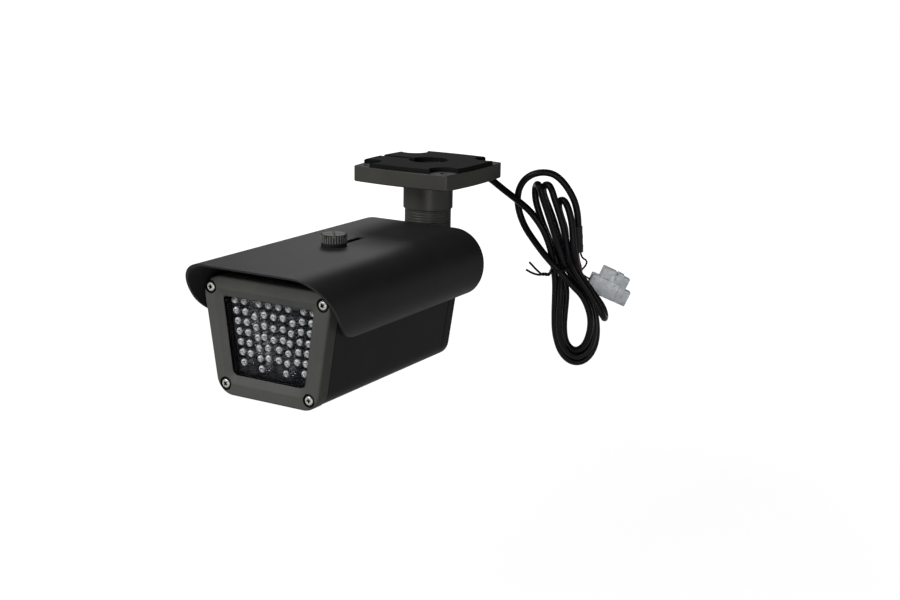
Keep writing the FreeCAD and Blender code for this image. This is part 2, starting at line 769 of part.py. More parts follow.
def make_lamp_board():
    board = slab(window_corners(board_overlap), [rebate_radius - 1] * 4, board_front_y,
                 board_back_y)
    for x, z in pillar_places():
        board = board.cut(rod(pillar_stud_radius + running_gap, V(x, board_front_y - 1, z),
                              Y_AXIS, board_thickness + 2))
    return board


def make_driver_board():
    board = slab(window_corners(board_overlap - driver_inset), [rebate_radius - 1] * 4,
                 driver_front_y, driver_back_y)
    for x, z in pillar_places():
        board = board.cut(rod(pillar_stud_radius + running_gap, V(x, driver_front_y - 1, z),
                              Y_AXIS, board_thickness + 2))
    return board


def make_pillars():
    pillars = []
    for x, z in pillar_places():
        pillar = hex_bar(pillar_flat, V(x, board_back_y, z), Y_AXIS, pillar_length)
        reach = board_thickness + pillar_stud_length - seat_gap
        pillar = pillar.fuse(rod(pillar_stud_radius, V(x, board_back_y - reach, z), Y_AXIS,
                                 reach))
        pillar = pillar.cut(rod(pillar_stud_radius + running_gap,
                                V(x, driver_front_y - pillar_thread_depth, z), Y_AXIS,
                                pillar_thread_depth + 1))
        pillars.append(pillar.removeSplitter())
    return Part.makeCompound(pillars)


def make_board_screws():
    return Part.makeCompound([
        pan_screw(x, driver_back_y, z, -1, board_screw_head_radius, board_screw_head_height,
                  pillar_stud_radius, board_thickness + board_screw_reach) for x, z in pillar_places()])


def make_inductor():
    x, z = inductor_place
    waist = inductor_radius - 1.2
    top = inductor_height - inductor_flange
    core = [(0, 0), (inductor_radius, 0), (inductor_radius, inductor_flange),
            (waist, inductor_flange), (waist, top), (inductor_radius, top),
            (inductor_radius, inductor_height), (0, inductor_height)]
    return turned(core, V(x, driver_back_y, board_middle_z + z), Y_AXIS, X_AXIS)


def make_capacitors():
    cans = []
    x, z = capacitor_place
    for i in range(2):
        place = V(x, driver_back_y, board_middle_z + z + i * capacitor_pitch)
        profile = [(0, 0), (capacitor_radius, 0), (capacitor_radius, capacitor_height - 0.5),
                   (capacitor_radius - 0.5, capacitor_height), (0, capacitor_height)]
        cans.append(turned(profile, place, Y_AXIS, X_AXIS))
    return Part.makeCompound(cans)


def make_heat_sink():
    left, base_z = sink_place[0] - sink_width / 2, board_middle_z + sink_place[1]
    sink = Part.makeBox(sink_width, sink_depth, sink_back, V(left, driver_back_y, base_z))
    pitch = (sink_width - sink_fin_thickness) / (sink_fin_count - 1)
    for i in range(sink_fin_count):
        sink = sink.fuse(Part.makeBox(sink_fin_thickness, sink_depth,
                                      sink_back + sink_fin_height,
                                      V(left + i * pitch, driver_back_y, base_z)))
    return sink.removeSplitter()


def make_regulator():
    return Part.makeBox(regulator_width, regulator_depth, regulator_thickness,
                        V(sink_place[0] - regulator_width / 2, driver_back_y,
                          board_middle_z + sink_place[1] - regulator_thickness))


def make_terminal_block():
    left, base_z = terminal_x - terminal_width / 2, window_bottom_z + terminal_rise
    block = Part.makeBox(terminal_width, terminal_depth, terminal_height,
                         V(left, driver_back_y, base_z))
    for side in (-1, 1):
        x = terminal_x + side * terminal_width / 4
        block = block.cut(rod(terminal_screw_radius,
                              V(x, driver_back_y + terminal_depth / 2 - 0.5,
                                base_z + terminal_height - 2), Z_AXIS, 3))
        block = block.cut(Part.makeBox(terminal_mouth, 3, terminal_mouth,
                                       V(x - terminal_mouth / 2,
                                         driver_back_y + terminal_depth - 2, base_z + 1)))
    return block


def hood_side_points(shift):
    # right half of the section from the top's middle down; shift moves it inwards
    shoulder_z = hood_top_z - hood_shoulder_radius
    cheek_z = shoulder_z - hood_side_drop
    reach = hood_flat_half + hood_shoulder_radius - shift
    cheek_x = hood_flat_half + hood_shoulder_radius - hood_cheek_radius
    small, large = hood_shoulder_radius - shift, hood_cheek_radius - shift
    # the cheek turns in until its inner lip stands hood_lip_gap off the body's side
    inner = (hood_cheek_radius - hood_wall) * math.hypot(1, side_slope)
    turn = math.atan(side_slope) + math.acos((body_half(cheek_z) + hood_lip_gap - cheek_x) / inner)
    bend = math.radians(45)
    return [V(0, 0, hood_top_z - shift), V(hood_flat_half, 0, hood_top_z - shift),
            V(hood_flat_half + small * math.sin(bend), 0, shoulder_z + small * math.cos(bend)),
            V(reach, 0, shoulder_z), V(reach, 0, cheek_z),
            V(cheek_x + large * math.cos(turn / 2), 0, cheek_z - large * math.sin(turn / 2)),
            V(cheek_x + large * math.cos(turn), 0, cheek_z - large * math.sin(turn))]


def mirrored(point):
    return V(-point.x, point.y, point.z)


def hood_section(shift):
    # one skin of the section, from the left lip over the top to the right lip
    top, flat, bend, side, low, cheek, lip = hood_side_points(shift)
    m = mirrored
    return [Part.Arc(m(lip), m(cheek), m(low)).toShape(),
            Part.LineSegment(m(low), m(side)).toShape(),
            Part.Arc(m(side), m(bend), m(flat)).toShape(),
            Part.LineSegment(m(flat), flat).toShape(),
            Part.Arc(flat, bend, side).toShape(),
            Part.LineSegment(side, low).toShape(),
            Part.Arc(low, cheek, lip).toShape()]


def make_hood():
    outer_lip, inner_lip = hood_side_points(0)[-1], hood_side_points(hood_wall)[-1]
    lips = [Part.LineSegment(outer_lip, inner_lip).toShape(),
            Part.LineSegment(mirrored(inner_lip), mirrored(outer_lip)).toShape()]
    section = Part.Wire(Part.__sortEdges__(hood_section(0) + hood_section(hood_wall) + lips))
    sheet = Part.Face(section)
    sheet.translate(V(0, hood_front_y, 0))
    hood = sheet.extrude(V(0, hood_rear_y - hood_front_y, 0))
    low_z = outer_lip.z
    lean = (hood_top_z - low_z) * math.tan(math.radians(hood_rake))
    above = 10.0
    side_view = [V(0, hood_front_y - above * math.tan(math.radians(hood_rake)),
                   hood_top_z + above),
                 V(0, hood_rear_y, hood_top_z + above), V(0, hood_rear_y, low_z),
                 V(0, hood_front_y + lean, low_z)]
    span = hood_flat_half + hood_shoulder_radius + 5
    outline = tangent_path([p - X_AXIS * span for p in side_view],
                           [0.5, 0.5, hood_rear_radius, hood_front_radius], True)
    hood = hood.common(Part.Face(outline).extrude(V(2 * span, 0, 0)))
    slot_half = stud_radius + stud_end_gap
    slot = Part.makeBox(2 * slot_half, slot_rear_y - slot_front_y - 2 * slot_half, 10,
                        V(-slot_half, slot_front_y + slot_half, hood_top_z - 5))
    for y in (slot_front_y + slot_half, slot_rear_y - slot_half):
        slot = slot.fuse(rod(slot_half, V(0, y, hood_top_z - 5), Z_AXIS, 10))
    return hood.cut(slot.removeSplitter())


def make_hood_post():
    top_z = hood_inner_z - seat_gap
    post = rod(post_radius, V(0, knob_y, shell_top_z), Z_AXIS, top_z - shell_top_z)
    post = post.fuse(rod(post_spigot_radius, V(0, knob_y, shell_top_z - shell_wall - 2), Z_AXIS,
                         shell_wall + 3))
    return post.removeSplitter().cut(rod(stud_radius + running_gap,
                                         V(0, knob_y, shell_top_z - 30), Z_AXIS, 60))


def make_clamp_ring():
    bore = stud_radius + running_gap
    profile = [(bore, 0), (clamp_ring_radius, 0), (clamp_ring_radius, clamp_ring_height - 0.4),
               (clamp_ring_radius - 0.4, clamp_ring_height), (bore, clamp_ring_height)]
    return turned(profile, V(0, knob_y, hood_top_z + seat_gap), Z_AXIS, X_AXIS)


def make_hood_knob():
    base_z = hood_top_z + seat_gap + clamp_ring_height + seat_gap / 2
    rim = []
    for i in range(2 * knob_flute_count):
        angle = math.pi * i / knob_flute_count
        radius = knob_radius - knob_flute_depth * (i % 2)
        rim.append(V(radius * math.cos(angle), knob_y + radius * math.sin(angle), base_z))
    knob = Part.Face(Part.makePolygon(rim + rim[:1])).extrude(V(0, 0, knob_height))
    body = [(0, 0), (knob_radius - 0.3, 0), (knob_radius + 0.1, 0.5),
            (knob_radius + 0.1, knob_height - 0.7), (knob_radius - 0.7, knob_height),
            (0, knob_height)]
    knob = knob.common(turned(body, V(0, knob_y, base_z), Z_AXIS, X_AXIS))
    for turn in (0, 90):
        blade = Part.makeBox(2.4 * knob_radius, knob_slot_width, knob_slot_depth + 1,
                             V(-1.2 * knob_radius, -knob_slot_width / 2,
                               base_z + knob_height - knob_slot_depth))
        blade.rotate(V(0, 0, 0), Z_AXIS, 38 + turn)
        blade.translate(V(0, knob_y, 0))
        knob = knob.cut(blade)
    stud = rod(stud_radius, V(0, knob_y, base_z - stud_length), Z_AXIS, stud_length + 1)
    return knob.fuse(stud).removeSplitter()


def in_bundle(across, behind, z):
    # a point in the bundle's own plane: across it, behind its middle, and its height
    heading = math.radians(bundle_heading)
    depth = bundle_depth + behind
    return V(across * math.cos(heading) - depth * math.sin(heading),
             across * math.sin(heading) + depth * math.cos(heading), z)


bundle_normal = V(-math.sin(math.radians(bundle_heading)),
                  math.cos(math.radians(bundle_heading)), 0)


def tube(points, radius):
    # straight runs and tangent arcs, each arc as large as its two runs allow
    radii = [0.0] * len(points)
    for i in range(1, len(points) - 1):
        before, after = points[i] - points[i - 1], points[i + 1] - points[i]
        turn = before.getAngle(after)
        radii[i] = 0.45 * min(before.Length, after.Length) / math.tan(turn / 2)
    path = tangent_path(points, radii, False)
    start = points[1] - points[0]
    section = Part.Wire(Part.Circle(points[0], start, radius).toShape())
    solid = path.makePipeShell([section], True, False)
    expected = math.pi * radius ** 2 * path.Length
    print("tube: length %.1f, radii %s, volume ratio %.4f" % (
        path.Length, [round(r, 1) for r in radii[1:-1]], solid.Volume / expected))
    return solid


def cord_exit_y():
    return plate_side / 2 + plate_bulge + seat_gap / 2 + grommet_flange_thickness


def cord_route():
    return [V(0, cord_exit_y(), -cable_hole_depth), V(0.3, 50, -8), in_bundle(39.0, 12, -15),
            in_bundle(50.0, 8, -23.3), in_bundle(58.3, 4, -28.9)]


def plane_solid(outline, depths, grow=0.0):
    # an outline in the bundle's plane, given a thickness
    front, behind = depths[0] - grow, depths[1] + grow
    points = [in_bundle(across, front, z) for across, z, radius in outline]
    face = Part.Face(tangent_path(points, [radius for across, z, radius in outline], True))
    return face.extrude(bundle_normal * (behind - front))


def make_cord_bundle():
    loops = plane_solid(hank_loops, hank_loops_depth)
    lower = plane_solid(hank_lower, hank_lower_depth)
    waist = plane_solid(hank_waist, hank_waist_depth)
    bundle = loops.fuse([lower, waist]).removeSplitter()
    bundle = bundle.cut(plane_solid(hank_eye, hank_lower_depth, 1.0))
    return bundle.fuse(plane_solid(hank_fold, hank_fold_depth)).removeSplitter()


def make_cord_sleeve():
    top, bottom = in_bundle(101.3, 0, -46.7), in_bundle(102.6, 0, -64.2)
    along = bottom - top
    return rod(sleeve_radius, top, along.normalize(), top.distanceToPoint(bottom))


def plug_point(along, up, behind):
    # measured from the plug's upper rear corner, along it and square to it
    slant = math.radians(plug_slant)
    across, depth, z = plug_corner
    return in_bundle(across + along * math.cos(slant) + up * math.sin(slant), depth + behind,
                     z - along * math.sin(slant) + up * math.cos(slant))


def plug_block(start, end, low, high, half_width):
    points = [plug_point(a, u, -half_width)
              for a, u in ((start, low), (end, low), (end, high), (start, high), (start, low))]
    return Part.Face(Part.makePolygon(points)).extrude(bundle_normal * (2 * half_width))


def plug_ways():
    # heights of the two contact cavities, measured down from the top of the body
    return [-plug_skirt_drop - 1.6 - plug_cavity / 2, -plug_height + 1.4 + plug_cavity / 2]


def make_plug():
    half = plug_width / 2
    crown_end = plug_crown_start + plug_crown_length
    crown_half = half - plug_skirt_step
    body = plug_block(0, plug_body_length, -plug_height, 0, half)
    skirt = plug_block(plug_body_length - 1, plug_length, -plug_height, -plug_skirt_drop,
                       half - plug_skirt_step)
    crown = plug_block(plug_crown_start, crown_end, -plug_skirt_drop - 1, plug_crown_height,
                       crown_half)
    notch = plug_crown_start + plug_crown_length / 2
    crown = crown.cut(plug_block(notch, notch + 1, plug_crown_height - 2, plug_crown_height + 1,
                                 half))
    crown = crown.cut(plug_block(plug_body_length + 1, crown_end + 1, plug_crown_height - 1.2,
                                 plug_crown_height + 1, half))
    plug = body.fuse([skirt, crown]).removeSplitter()
    for middle in plug_ways():
        low, high = middle - plug_cavity / 2, middle + plug_cavity / 2
        plug = plug.cut(plug_block(plug_length - 8, plug_length + 1, low, high, plug_cavity / 2))
        plug = plug.cut(plug_block(-1, 4, middle - wire_radius - 0.2, middle + wire_radius + 0.2,
                                   wire_radius + 0.2))
    return plug


def make_red_wire():
    low = plug_ways()[1]
    return tube([in_bundle(101.9, 0, -64.3), in_bundle(102.6, 1.5, -69.5),
                 in_bundle(105.2, 6.0, -76.5), plug_point(-plug_wire_lead, low, 0),
                 plug_point(-seat_gap, low, 0)], wire_radius)


def make_black_wire():
    high = plug_ways()[0]
    return tube([in_bundle(103.4, 0, -64.2), in_bundle(103.9, 0.5, -68.0),
                 in_bundle(108.6, 3.5, -71.6), in_bundle(107.1, 7.0, -77.0),
                 plug_point(-plug_wire_lead, high, 0), plug_point(-seat_gap, high, 0)],
                wire_radius)


def make_twist_tie():
    slant = math.radians(tie_slant)
    start = in_bundle(tie_start[0], 0, tie_start[1])
    along = in_bundle(math.cos(slant), 0, math.sin(slant)) - in_bundle(0, 0, 0)
    upward = in_bundle(-math.sin(slant), 0, math.cos(slant)) - in_bundle(0, 0, 0)
    depth = hank_waist_depth[1] + seat_gap

    def band(grow):
        points = [start + along * a + bundle_normal * b for a, b in
                  ((-grow, -depth - grow), (tie_span + grow, -depth - grow),
                   (tie_span + grow, depth + grow), (-grow, depth + grow))]
        path = tangent_path(points, [1.5 + grow] * 4, True)
        return Part.Face(path).extrude(upward * tie_width)

    ring = band(tie_thickness).cut(band(0))
    foot = start - along * 0.7 - bundle_normal * (depth - 2.0) + upward * tie_width / 2
    tail = tube([foot] + [in_bundle(*point) for point in tie_tail], tie_thickness * 0.7)
    return ring.fuse(tail).removeSplitter()


def make_inner_cord():
    # from the stem's bore, up into the chamber and out through the plate's side
    start = V(0, 0, stem_top_z + seat_gap * 8)
    corner = V(0, 0, -cable_hole_depth)
    bend = corner.z - start.z - 0.1
    path = tangent_path([start, corner, V(0, cord_exit_y(), -cable_hole_depth)], [0, bend, 0],
                        False)
    section = Part.Wire(Part.Circle(start, Z_AXIS, cord_radius).toShape())
    return path.makePipeShell([section], True, False)


def make_supply_lead():
    # from the driver's terminals to the bore in the tilt arm
    x, z = terminal_x, window_bottom_z + terminal_rise + 1 + terminal_mouth / 2
    start = V(x, driver_back_y + terminal_depth + seat_gap, z)
    finish = V(0, -arm_eye_radius - 4, -pivot_depth)
    run, rise = finish.y - start.y, finish.z - start.z
    bends = [V(x * aside, start.y + run * along, start.z + rise * up) for along, up, aside in
             ((0.17, 0.02, 1.0), (0.31, 0.22, 0.7), (0.51, 0.79, 0.2), (0.68, 0.985, 0.0))]
    return tube([start] + bends + [finish], cord_radius)


def main():
    os.makedirs("parts", exist_ok=True)
    pieces = {
        "base_plate": make_base_plate(),
        "base_gasket": make_base_gasket(),
        "pan_lock_screw": make_lock_screw(),
        "cable_grommet": make_grommet(),
        "inner_cord": make_inner_cord(),
        "swivel_stem": make_swivel_stem(),
        "stem_washer": make_stem_washer(),
        "stem_nut": make_stem_nut(),
        "tilt_bolt": make_tilt_bolt(),
        "tilt_nut": make_tilt_nut(),
        "tilt_washers": make_tilt_washers(),
        "tilt_arm": make_tilt_arm(),
        "arm_screws": make_arm_screws(),
        "rear_cover": make_rear_cover(),
        "rear_gasket": ring_gasket(shell_rear_y),
        "rear_screws": corner_screws(False),
        "housing_shell": make_housing_shell(),
        "front_gasket": ring_gasket(bezel_back_y),
        "front_bezel": make_front_bezel(),
        "bezel_screws": corner_screws(True),
        "window": make_window(),
        "window_frame": make_window_frame(),
        "lamp_board": make_lamp_board(),
        "infrared_diodes": make_diodes(),
        "light_sensor": make_light_sensor(),
        "board_pillars": make_pillars(),
        "driver_board": make_driver_board(),
        "board_screws": make_board_screws(),
        "inductor": make_inductor(),
        "capacitors": make_capacitors(),
        "regulator": make_regulator(),
        "heat_sink": make_heat_sink(),
        "terminal_block": make_terminal_block(),
        "supply_lead": make_supply_lead(),
        "hood": make_hood(),
        "hood_post": make_hood_post(),
        "clamp_ring": make_clamp_ring(),
        "hood_knob": make_hood_knob(),
        "cord_lead": tube(cord_route(), cord_radius),
        "cord_bundle": make_cord_bundle(),
        "cord_sleeve": make_cord_sleeve(),
        "red_wire": make_red_wire(),
        "black_wire": make_black_wire(),
        "plug": make_plug(),
        "twist_tie": make_twist_tie(),
    }
    for name, shape in pieces.items():
        solids = len(shape.Solids)
        print("%-16s solids %2d  volume %9.1f mm3  valid %s" % (
            name, solids, shape.Volume, shape.isValid()))
        shape.exportStep("parts/" + name + ".step")


main()
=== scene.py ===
import math

import bmesh
import bpy
from mathutils import Matrix, Vector


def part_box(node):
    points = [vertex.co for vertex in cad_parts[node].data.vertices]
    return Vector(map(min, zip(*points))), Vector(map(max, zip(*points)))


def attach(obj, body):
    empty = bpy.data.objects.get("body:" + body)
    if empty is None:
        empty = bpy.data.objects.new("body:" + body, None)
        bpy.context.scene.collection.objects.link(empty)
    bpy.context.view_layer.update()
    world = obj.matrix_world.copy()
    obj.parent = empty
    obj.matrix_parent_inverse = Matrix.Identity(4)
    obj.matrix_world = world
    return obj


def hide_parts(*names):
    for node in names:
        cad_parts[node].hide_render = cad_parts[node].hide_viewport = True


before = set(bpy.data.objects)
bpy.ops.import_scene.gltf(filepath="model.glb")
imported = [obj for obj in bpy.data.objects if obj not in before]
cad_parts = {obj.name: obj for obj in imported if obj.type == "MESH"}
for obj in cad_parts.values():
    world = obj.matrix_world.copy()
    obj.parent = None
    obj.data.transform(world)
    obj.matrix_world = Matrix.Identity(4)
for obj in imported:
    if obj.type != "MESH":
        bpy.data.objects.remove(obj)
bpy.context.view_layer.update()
mm = 0.001
print("frame loaded:", len(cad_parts), "nodes")


def begin():
    if bpy.context.object and bpy.context.object.mode != "OBJECT":
        bpy.ops.object.mode_set(mode="OBJECT")
    bpy.ops.object.select_all(action="DESELECT")


def only(*pieces):
    begin()
    for piece in pieces:
        piece.select_set(True)
    bpy.context.view_layer.objects.active = pieces[0]


def edit(piece, mode="FACE"):
    only(piece)
    bpy.ops.object.mode_set(mode="EDIT")
    bpy.ops.mesh.select_mode(type=mode)
    bpy.ops.mesh.select_all(action="DESELECT")


def pickFaces(test):
    mesh = bmesh.from_edit_mesh(bpy.context.object.data)
    for face in mesh.faces:
        face.select_set(bool(test(face.normal)))
    bmesh.update_edit_mesh(bpy.context.object.data)


def pickEdges(test):
    mesh = bmesh.from_edit_mesh(bpy.context.object.data)
    for edge in mesh.edges:
        edge.select_set(bool(test(edge.verts[0].co, edge.verts[1].co)))
    bmesh.update_edit_mesh(bpy.context.object.data)


def push(distance, scale=1.0):
    # extrudes what is selected, then makes its end larger or smaller
    bpy.ops.mesh.extrude_region_move(TRANSFORM_OT_translate={"value": distance})
    if scale != 1.0:
        bpy.ops.transform.resize(value=(scale, scale, scale))


def settle(piece, name, smooth=35):
    # back to object mode, place and turn into the mesh, normals outwards
    only(piece)
    bpy.ops.object.transform_apply(location=True, rotation=True, scale=True)
    bpy.ops.object.mode_set(mode="EDIT")
    bpy.ops.mesh.select_all(action="SELECT")
    bpy.ops.mesh.remove_doubles(threshold=0.000002)
    bpy.ops.mesh.normals_make_consistent(inside=False)
    bpy.ops.object.mode_set(mode="OBJECT")
    bpy.ops.object.shade_smooth_by_angle(angle=math.radians(smooth))
    piece.name = piece.data.name = name
    return piece


def applyAll(piece):
    only(piece)
    for modifier in list(piece.modifiers):
        bpy.ops.object.modifier_apply(modifier=modifier.name)


def carve(piece, cutter):
    modifier = piece.modifiers.new("carve", "BOOLEAN")
    modifier.operation, modifier.solver, modifier.object = "DIFFERENCE", "EXACT", cutter
    applyAll(piece)
    bpy.data.objects.remove(cutter)


def copyOf(piece, matrix):
    twin = piece.copy()
    twin.data = piece.data.copy()
    bpy.context.scene.collection.objects.link(twin)
    twin.data.transform(matrix)
    return twin


def joined(pieces, name):
    only(*pieces)
    bpy.ops.object.join()
    whole = bpy.context.object
    whole.name = whole.data.name = name
    return whole


def dress(piece, material):
    piece.data.materials.clear()
    piece.data.materials.append(material)
    return piece


class Flow:
    def __init__(self, finish, socket):
        self.finish, self.socket = finish, socket

    def math(self, operation, *others):
        node = self.finish.tree.nodes.new("ShaderNodeMath")
        node.operation = operation
        for place, value in zip(node.inputs, (self,) + others):
            self.finish.plug(place, value)
        return Flow(self.finish, node.outputs[0])

    def __add__(self, other):
        return self.math("ADD", other)

    def __mul__(self, other):
        return self.math("MULTIPLY", other)

    __radd__, __rmul__ = __add__, __mul__

    def __sub__(self, other):
        return self.math("SUBTRACT", other)

    def __rsub__(self, other):
        return self.math("MULTIPLY", -1.0) + other

    def __pow__(self, other):
        return self.math("POWER", other)

    def over(self, low, high):
        # 0 below low, 1 above high
        return Flow(self.finish, self.finish.node("ShaderNodeMapRange", {"clamp": True}, {
            "Value": self, "From Min": low, "From Max": high}).outputs[0])


class Finish:
    def __init__(self, name, **settings):
        self.material = bpy.data.materials.new(name)
        self.material.use_nodes = True
        self.tree = self.material.node_tree
        self.shader = self.tree.nodes["Principled BSDF"]
        for socket, value in settings.items():
            self.shader.inputs[socket.replace("_", " ")].default_value = value

    def plug(self, socket, value):
        if isinstance(value, Flow):
            self.tree.links.new(value.socket, socket)
        elif hasattr(value, "is_output"):
            self.tree.links.new(value, socket)
        else:
            socket.default_value = value

    def node(self, kind, settings=None, sockets=None):
        node = self.tree.nodes.new(kind)
        for key, value in (settings or {}).items():
            setattr(node, key, value)
        for key, value in (sockets or {}).items():
            self.plug(node.inputs[key], value)
        return node

    def flow(self, node, socket=0):
        return Flow(self, node.outputs[socket])

    def place(self, stretch=(1, 1, 1), turn=(0, 0, 0), shift=(0, 0, 0)):
        coordinates = self.node("ShaderNodeTexCoord")
        return self.node("ShaderNodeMapping", None, {
            "Vector": coordinates.outputs["Object"], "Location": shift, "Rotation": turn,
            "Scale": stretch}).outputs[0]

    def noise(self, size, detail=3.0, place=None, rough=0.55):
        # size is that of the blotches, in metres
        return self.flow(self.node("ShaderNodeTexNoise", None, {
            "Vector": place or self.place(), "Scale": 1 / size, "Detail": detail,
            "Roughness": rough}), "Fac")

    def mix(self, amount, first, second):
        node = self.node("ShaderNodeMix", {"data_type": "RGBA"})
        self.plug(node.inputs[0], amount)
        for socket, value in ((node.inputs[6], first), (node.inputs[7], second)):
            self.plug(socket, value if not isinstance(value, tuple) else (*value, 1))
        return node.outputs[2]

    def edges(self, radius):
        # softened normal, and a mask of the edges that it softens
        soft = self.node("ShaderNodeBevel", {"samples": 6}, {"Radius": radius}).outputs[0]
        flat = self.node("ShaderNodeNewGeometry").outputs["Normal"]
        along = self.flow(self.node("ShaderNodeVectorMath", {"operation": "DOT_PRODUCT"},
                                    {0: soft, 1: flat}), "Value")
        return soft, (1 - along.math("ABSOLUTE")).over(0.01, 0.16)

    def bump(self, height, strength, distance, normal=None):
        sockets = {"Height": height, "Strength": strength, "Distance": distance}
        if normal is not None:
            sockets["Normal"] = normal
        uneven = self.node("ShaderNodeBump", None, sockets).outputs[0]
        self.plug(self.shader.inputs["Normal"], uneven)
        return uneven

    def colour(self, value):
        self.plug(self.shader.inputs["Base Color"], value)

    def roughness(self, value):
        self.plug(self.shader.inputs["Roughness"], value)

    def blend(self, amount, second):
        # a share of a second shader over the first
        both = self.node("ShaderNodeMixShader", None, {
            0: amount, 1: self.shader.outputs[0], 2: second})
        self.plug(self.tree.nodes["Material Output"].inputs["Surface"], both.outputs[0])


camera = {"yaw": 30.666, "pitch": 13.946, "roll": 1.012, "lens": 58.211,
          "place": (0.4875, -0.79204, 0.14092)}
yaw, pitch, roll = (math.radians(camera[key]) for key in ("yaw", "pitch", "roll"))
back = Vector((math.sin(yaw) * math.cos(pitch), -math.cos(yaw) * math.cos(pitch), math.sin(pitch)))
right = Vector((math.cos(yaw), math.sin(yaw), 0))
above = back.cross(right)
turned = math.cos(roll) * right + math.sin(roll) * above, math.cos(roll) * above - math.sin(roll) * right
cameraData = bpy.data.cameras.new("camera")
cameraData.lens, cameraData.sensor_width, cameraData.sensor_fit = camera["lens"], 36, "HORIZONTAL"
cameraData.clip_start, cameraData.clip_end = 0.05, 50
cameraObject = bpy.data.objects.new("camera", cameraData)
bpy.context.scene.collection.objects.link(cameraObject)
cameraObject.matrix_world = Matrix.Translation(camera["place"]) @ Matrix(
    (turned[0], turned[1], back)).transposed().to_4x4()
bpy.context.scene.camera = cameraObject
bpy.context.scene.view_settings.view_transform = "Standard"

studio = {
    "middle": (0.0, -0.09, -0.07),
    "lamps": (
        ("keyLamp", (-0.42, -1.06, 0.58), 0.5, 13.0),
        ("fillLamp", (0.80, -1.10, 0.00), 0.4, 5.0),
        ("backLamp", (-0.62, 0.98, 0.82), 0.6, 6.4),
    ),
    "ambient": 0.14,
    "skyTop": 0.10,            # brightness overhead, for rays that only look
    "skyFade": (0.02, 0.25),   # heights between which it fades from white
    "floorHeight": -0.275,
    "floorSize": 12,
    "floorColour": (0.3, 0.3, 0.3, 1),
    "floorGlow": 1.2,
    "floorLook": 0.8,          # share of the glow near the object, 1 far away
    "floorFar": (0.3, 1.2),    # distances between which it grows
}


def addLamp(name, place, size, power):
    begin()
    bpy.ops.object.light_add(type="AREA", location=place)
    lamp = bpy.context.object
    lamp.name, lamp.data.shape = name, "SQUARE"
    lamp.data.size, lamp.data.energy = size, power
    aim = Vector(studio["middle"]) - Vector(place)
    lamp.rotation_euler = aim.to_track_quat("-Z", "Y").to_euler()


for lampSpec in studio["lamps"]:
    addLamp(*lampSpec)


def whiteForLooks(tree):
    # 1 for rays that only look: from the camera, in gloss and through glass
    path = tree.nodes.new("ShaderNodeLightPath")
    total = path.outputs["Is Camera Ray"]
    for name in ("Is Glossy Ray", "Is Transmission Ray"):
        node = tree.nodes.new("ShaderNodeMath")
        node.operation = "MAXIMUM"
        tree.links.new(total, node.inputs[0])
        tree.links.new(path.outputs[name], node.inputs[1])
        total = node.outputs[0]
    return total


world = bpy.data.worlds.new("studio")
bpy.context.scene.world = world
world.use_nodes = True
skyTree = world.node_tree
ambientGround = skyTree.nodes["Background"]
ambientGround.inputs["Color"].default_value = (1, 1, 1, 1)
ambientGround.inputs["Strength"].default_value = studio["ambient"]
whiteGround = skyTree.nodes.new("ShaderNodeBackground")
whiteGround.inputs["Color"].default_value = (1, 1, 1, 1)
skyPlace = skyTree.nodes.new("ShaderNodeTexCoord")
skyHeight = skyTree.nodes.new("ShaderNodeSeparateXYZ")
skyShade = skyTree.nodes.new("ShaderNodeMapRange")
skyTree.links.new(skyPlace.outputs["Generated"], skyHeight.inputs[0])
skyTree.links.new(skyHeight.outputs["Z"], skyShade.inputs["Value"])
for socketName, value in (("From Min", studio["skyFade"][0]), ("From Max", studio["skyFade"][1]),
                          ("To Min", 1.0), ("To Max", studio["skyTop"])):
    skyShade.inputs[socketName].default_value = value
skyTree.links.new(skyShade.outputs[0], whiteGround.inputs["Strength"])
skyMix = skyTree.nodes.new("ShaderNodeMixShader")
skyTree.links.new(whiteForLooks(skyTree), skyMix.inputs[0])
skyTree.links.new(ambientGround.outputs[0], skyMix.inputs[1])
skyTree.links.new(whiteGround.outputs[0], skyMix.inputs[2])
skyTree.links.new(skyMix.outputs[0], skyTree.nodes["World Output"].inputs["Surface"])

begin()
bpy.ops.mesh.primitive_plane_add(size=studio["floorSize"], location=(0, 0, studio["floorHeight"]))
floor = bpy.context.object
floor.name = "floor"
paleFloor = Finish("paleFloor", Base_Color=studio["floorColour"], Roughness=0.9, Specular_IOR_Level=0.0)
glow = paleFloor.node("ShaderNodeEmission", None, {"Color": (1, 1, 1, 1), "Strength": studio["floorGlow"]})
away = paleFloor.flow(paleFloor.node("ShaderNodeVectorMath", {"operation": "LENGTH"}, {
    0: paleFloor.place()}), "Value")
looks = Flow(paleFloor, whiteForLooks(paleFloor.tree))
nearShare = studio["floorLook"]
paleFloor.blend(looks * (nearShare + away.over(*studio["floorFar"]) * (1 - nearShare)), glow.outputs[0])
dress(floor, paleFloor.material)
print("camera, lamps and floor ready")


cornerScrews = ((39.0, -53.02), (-39.0, -53.02), (29.34, -108.78), (-29.34, -108.78))


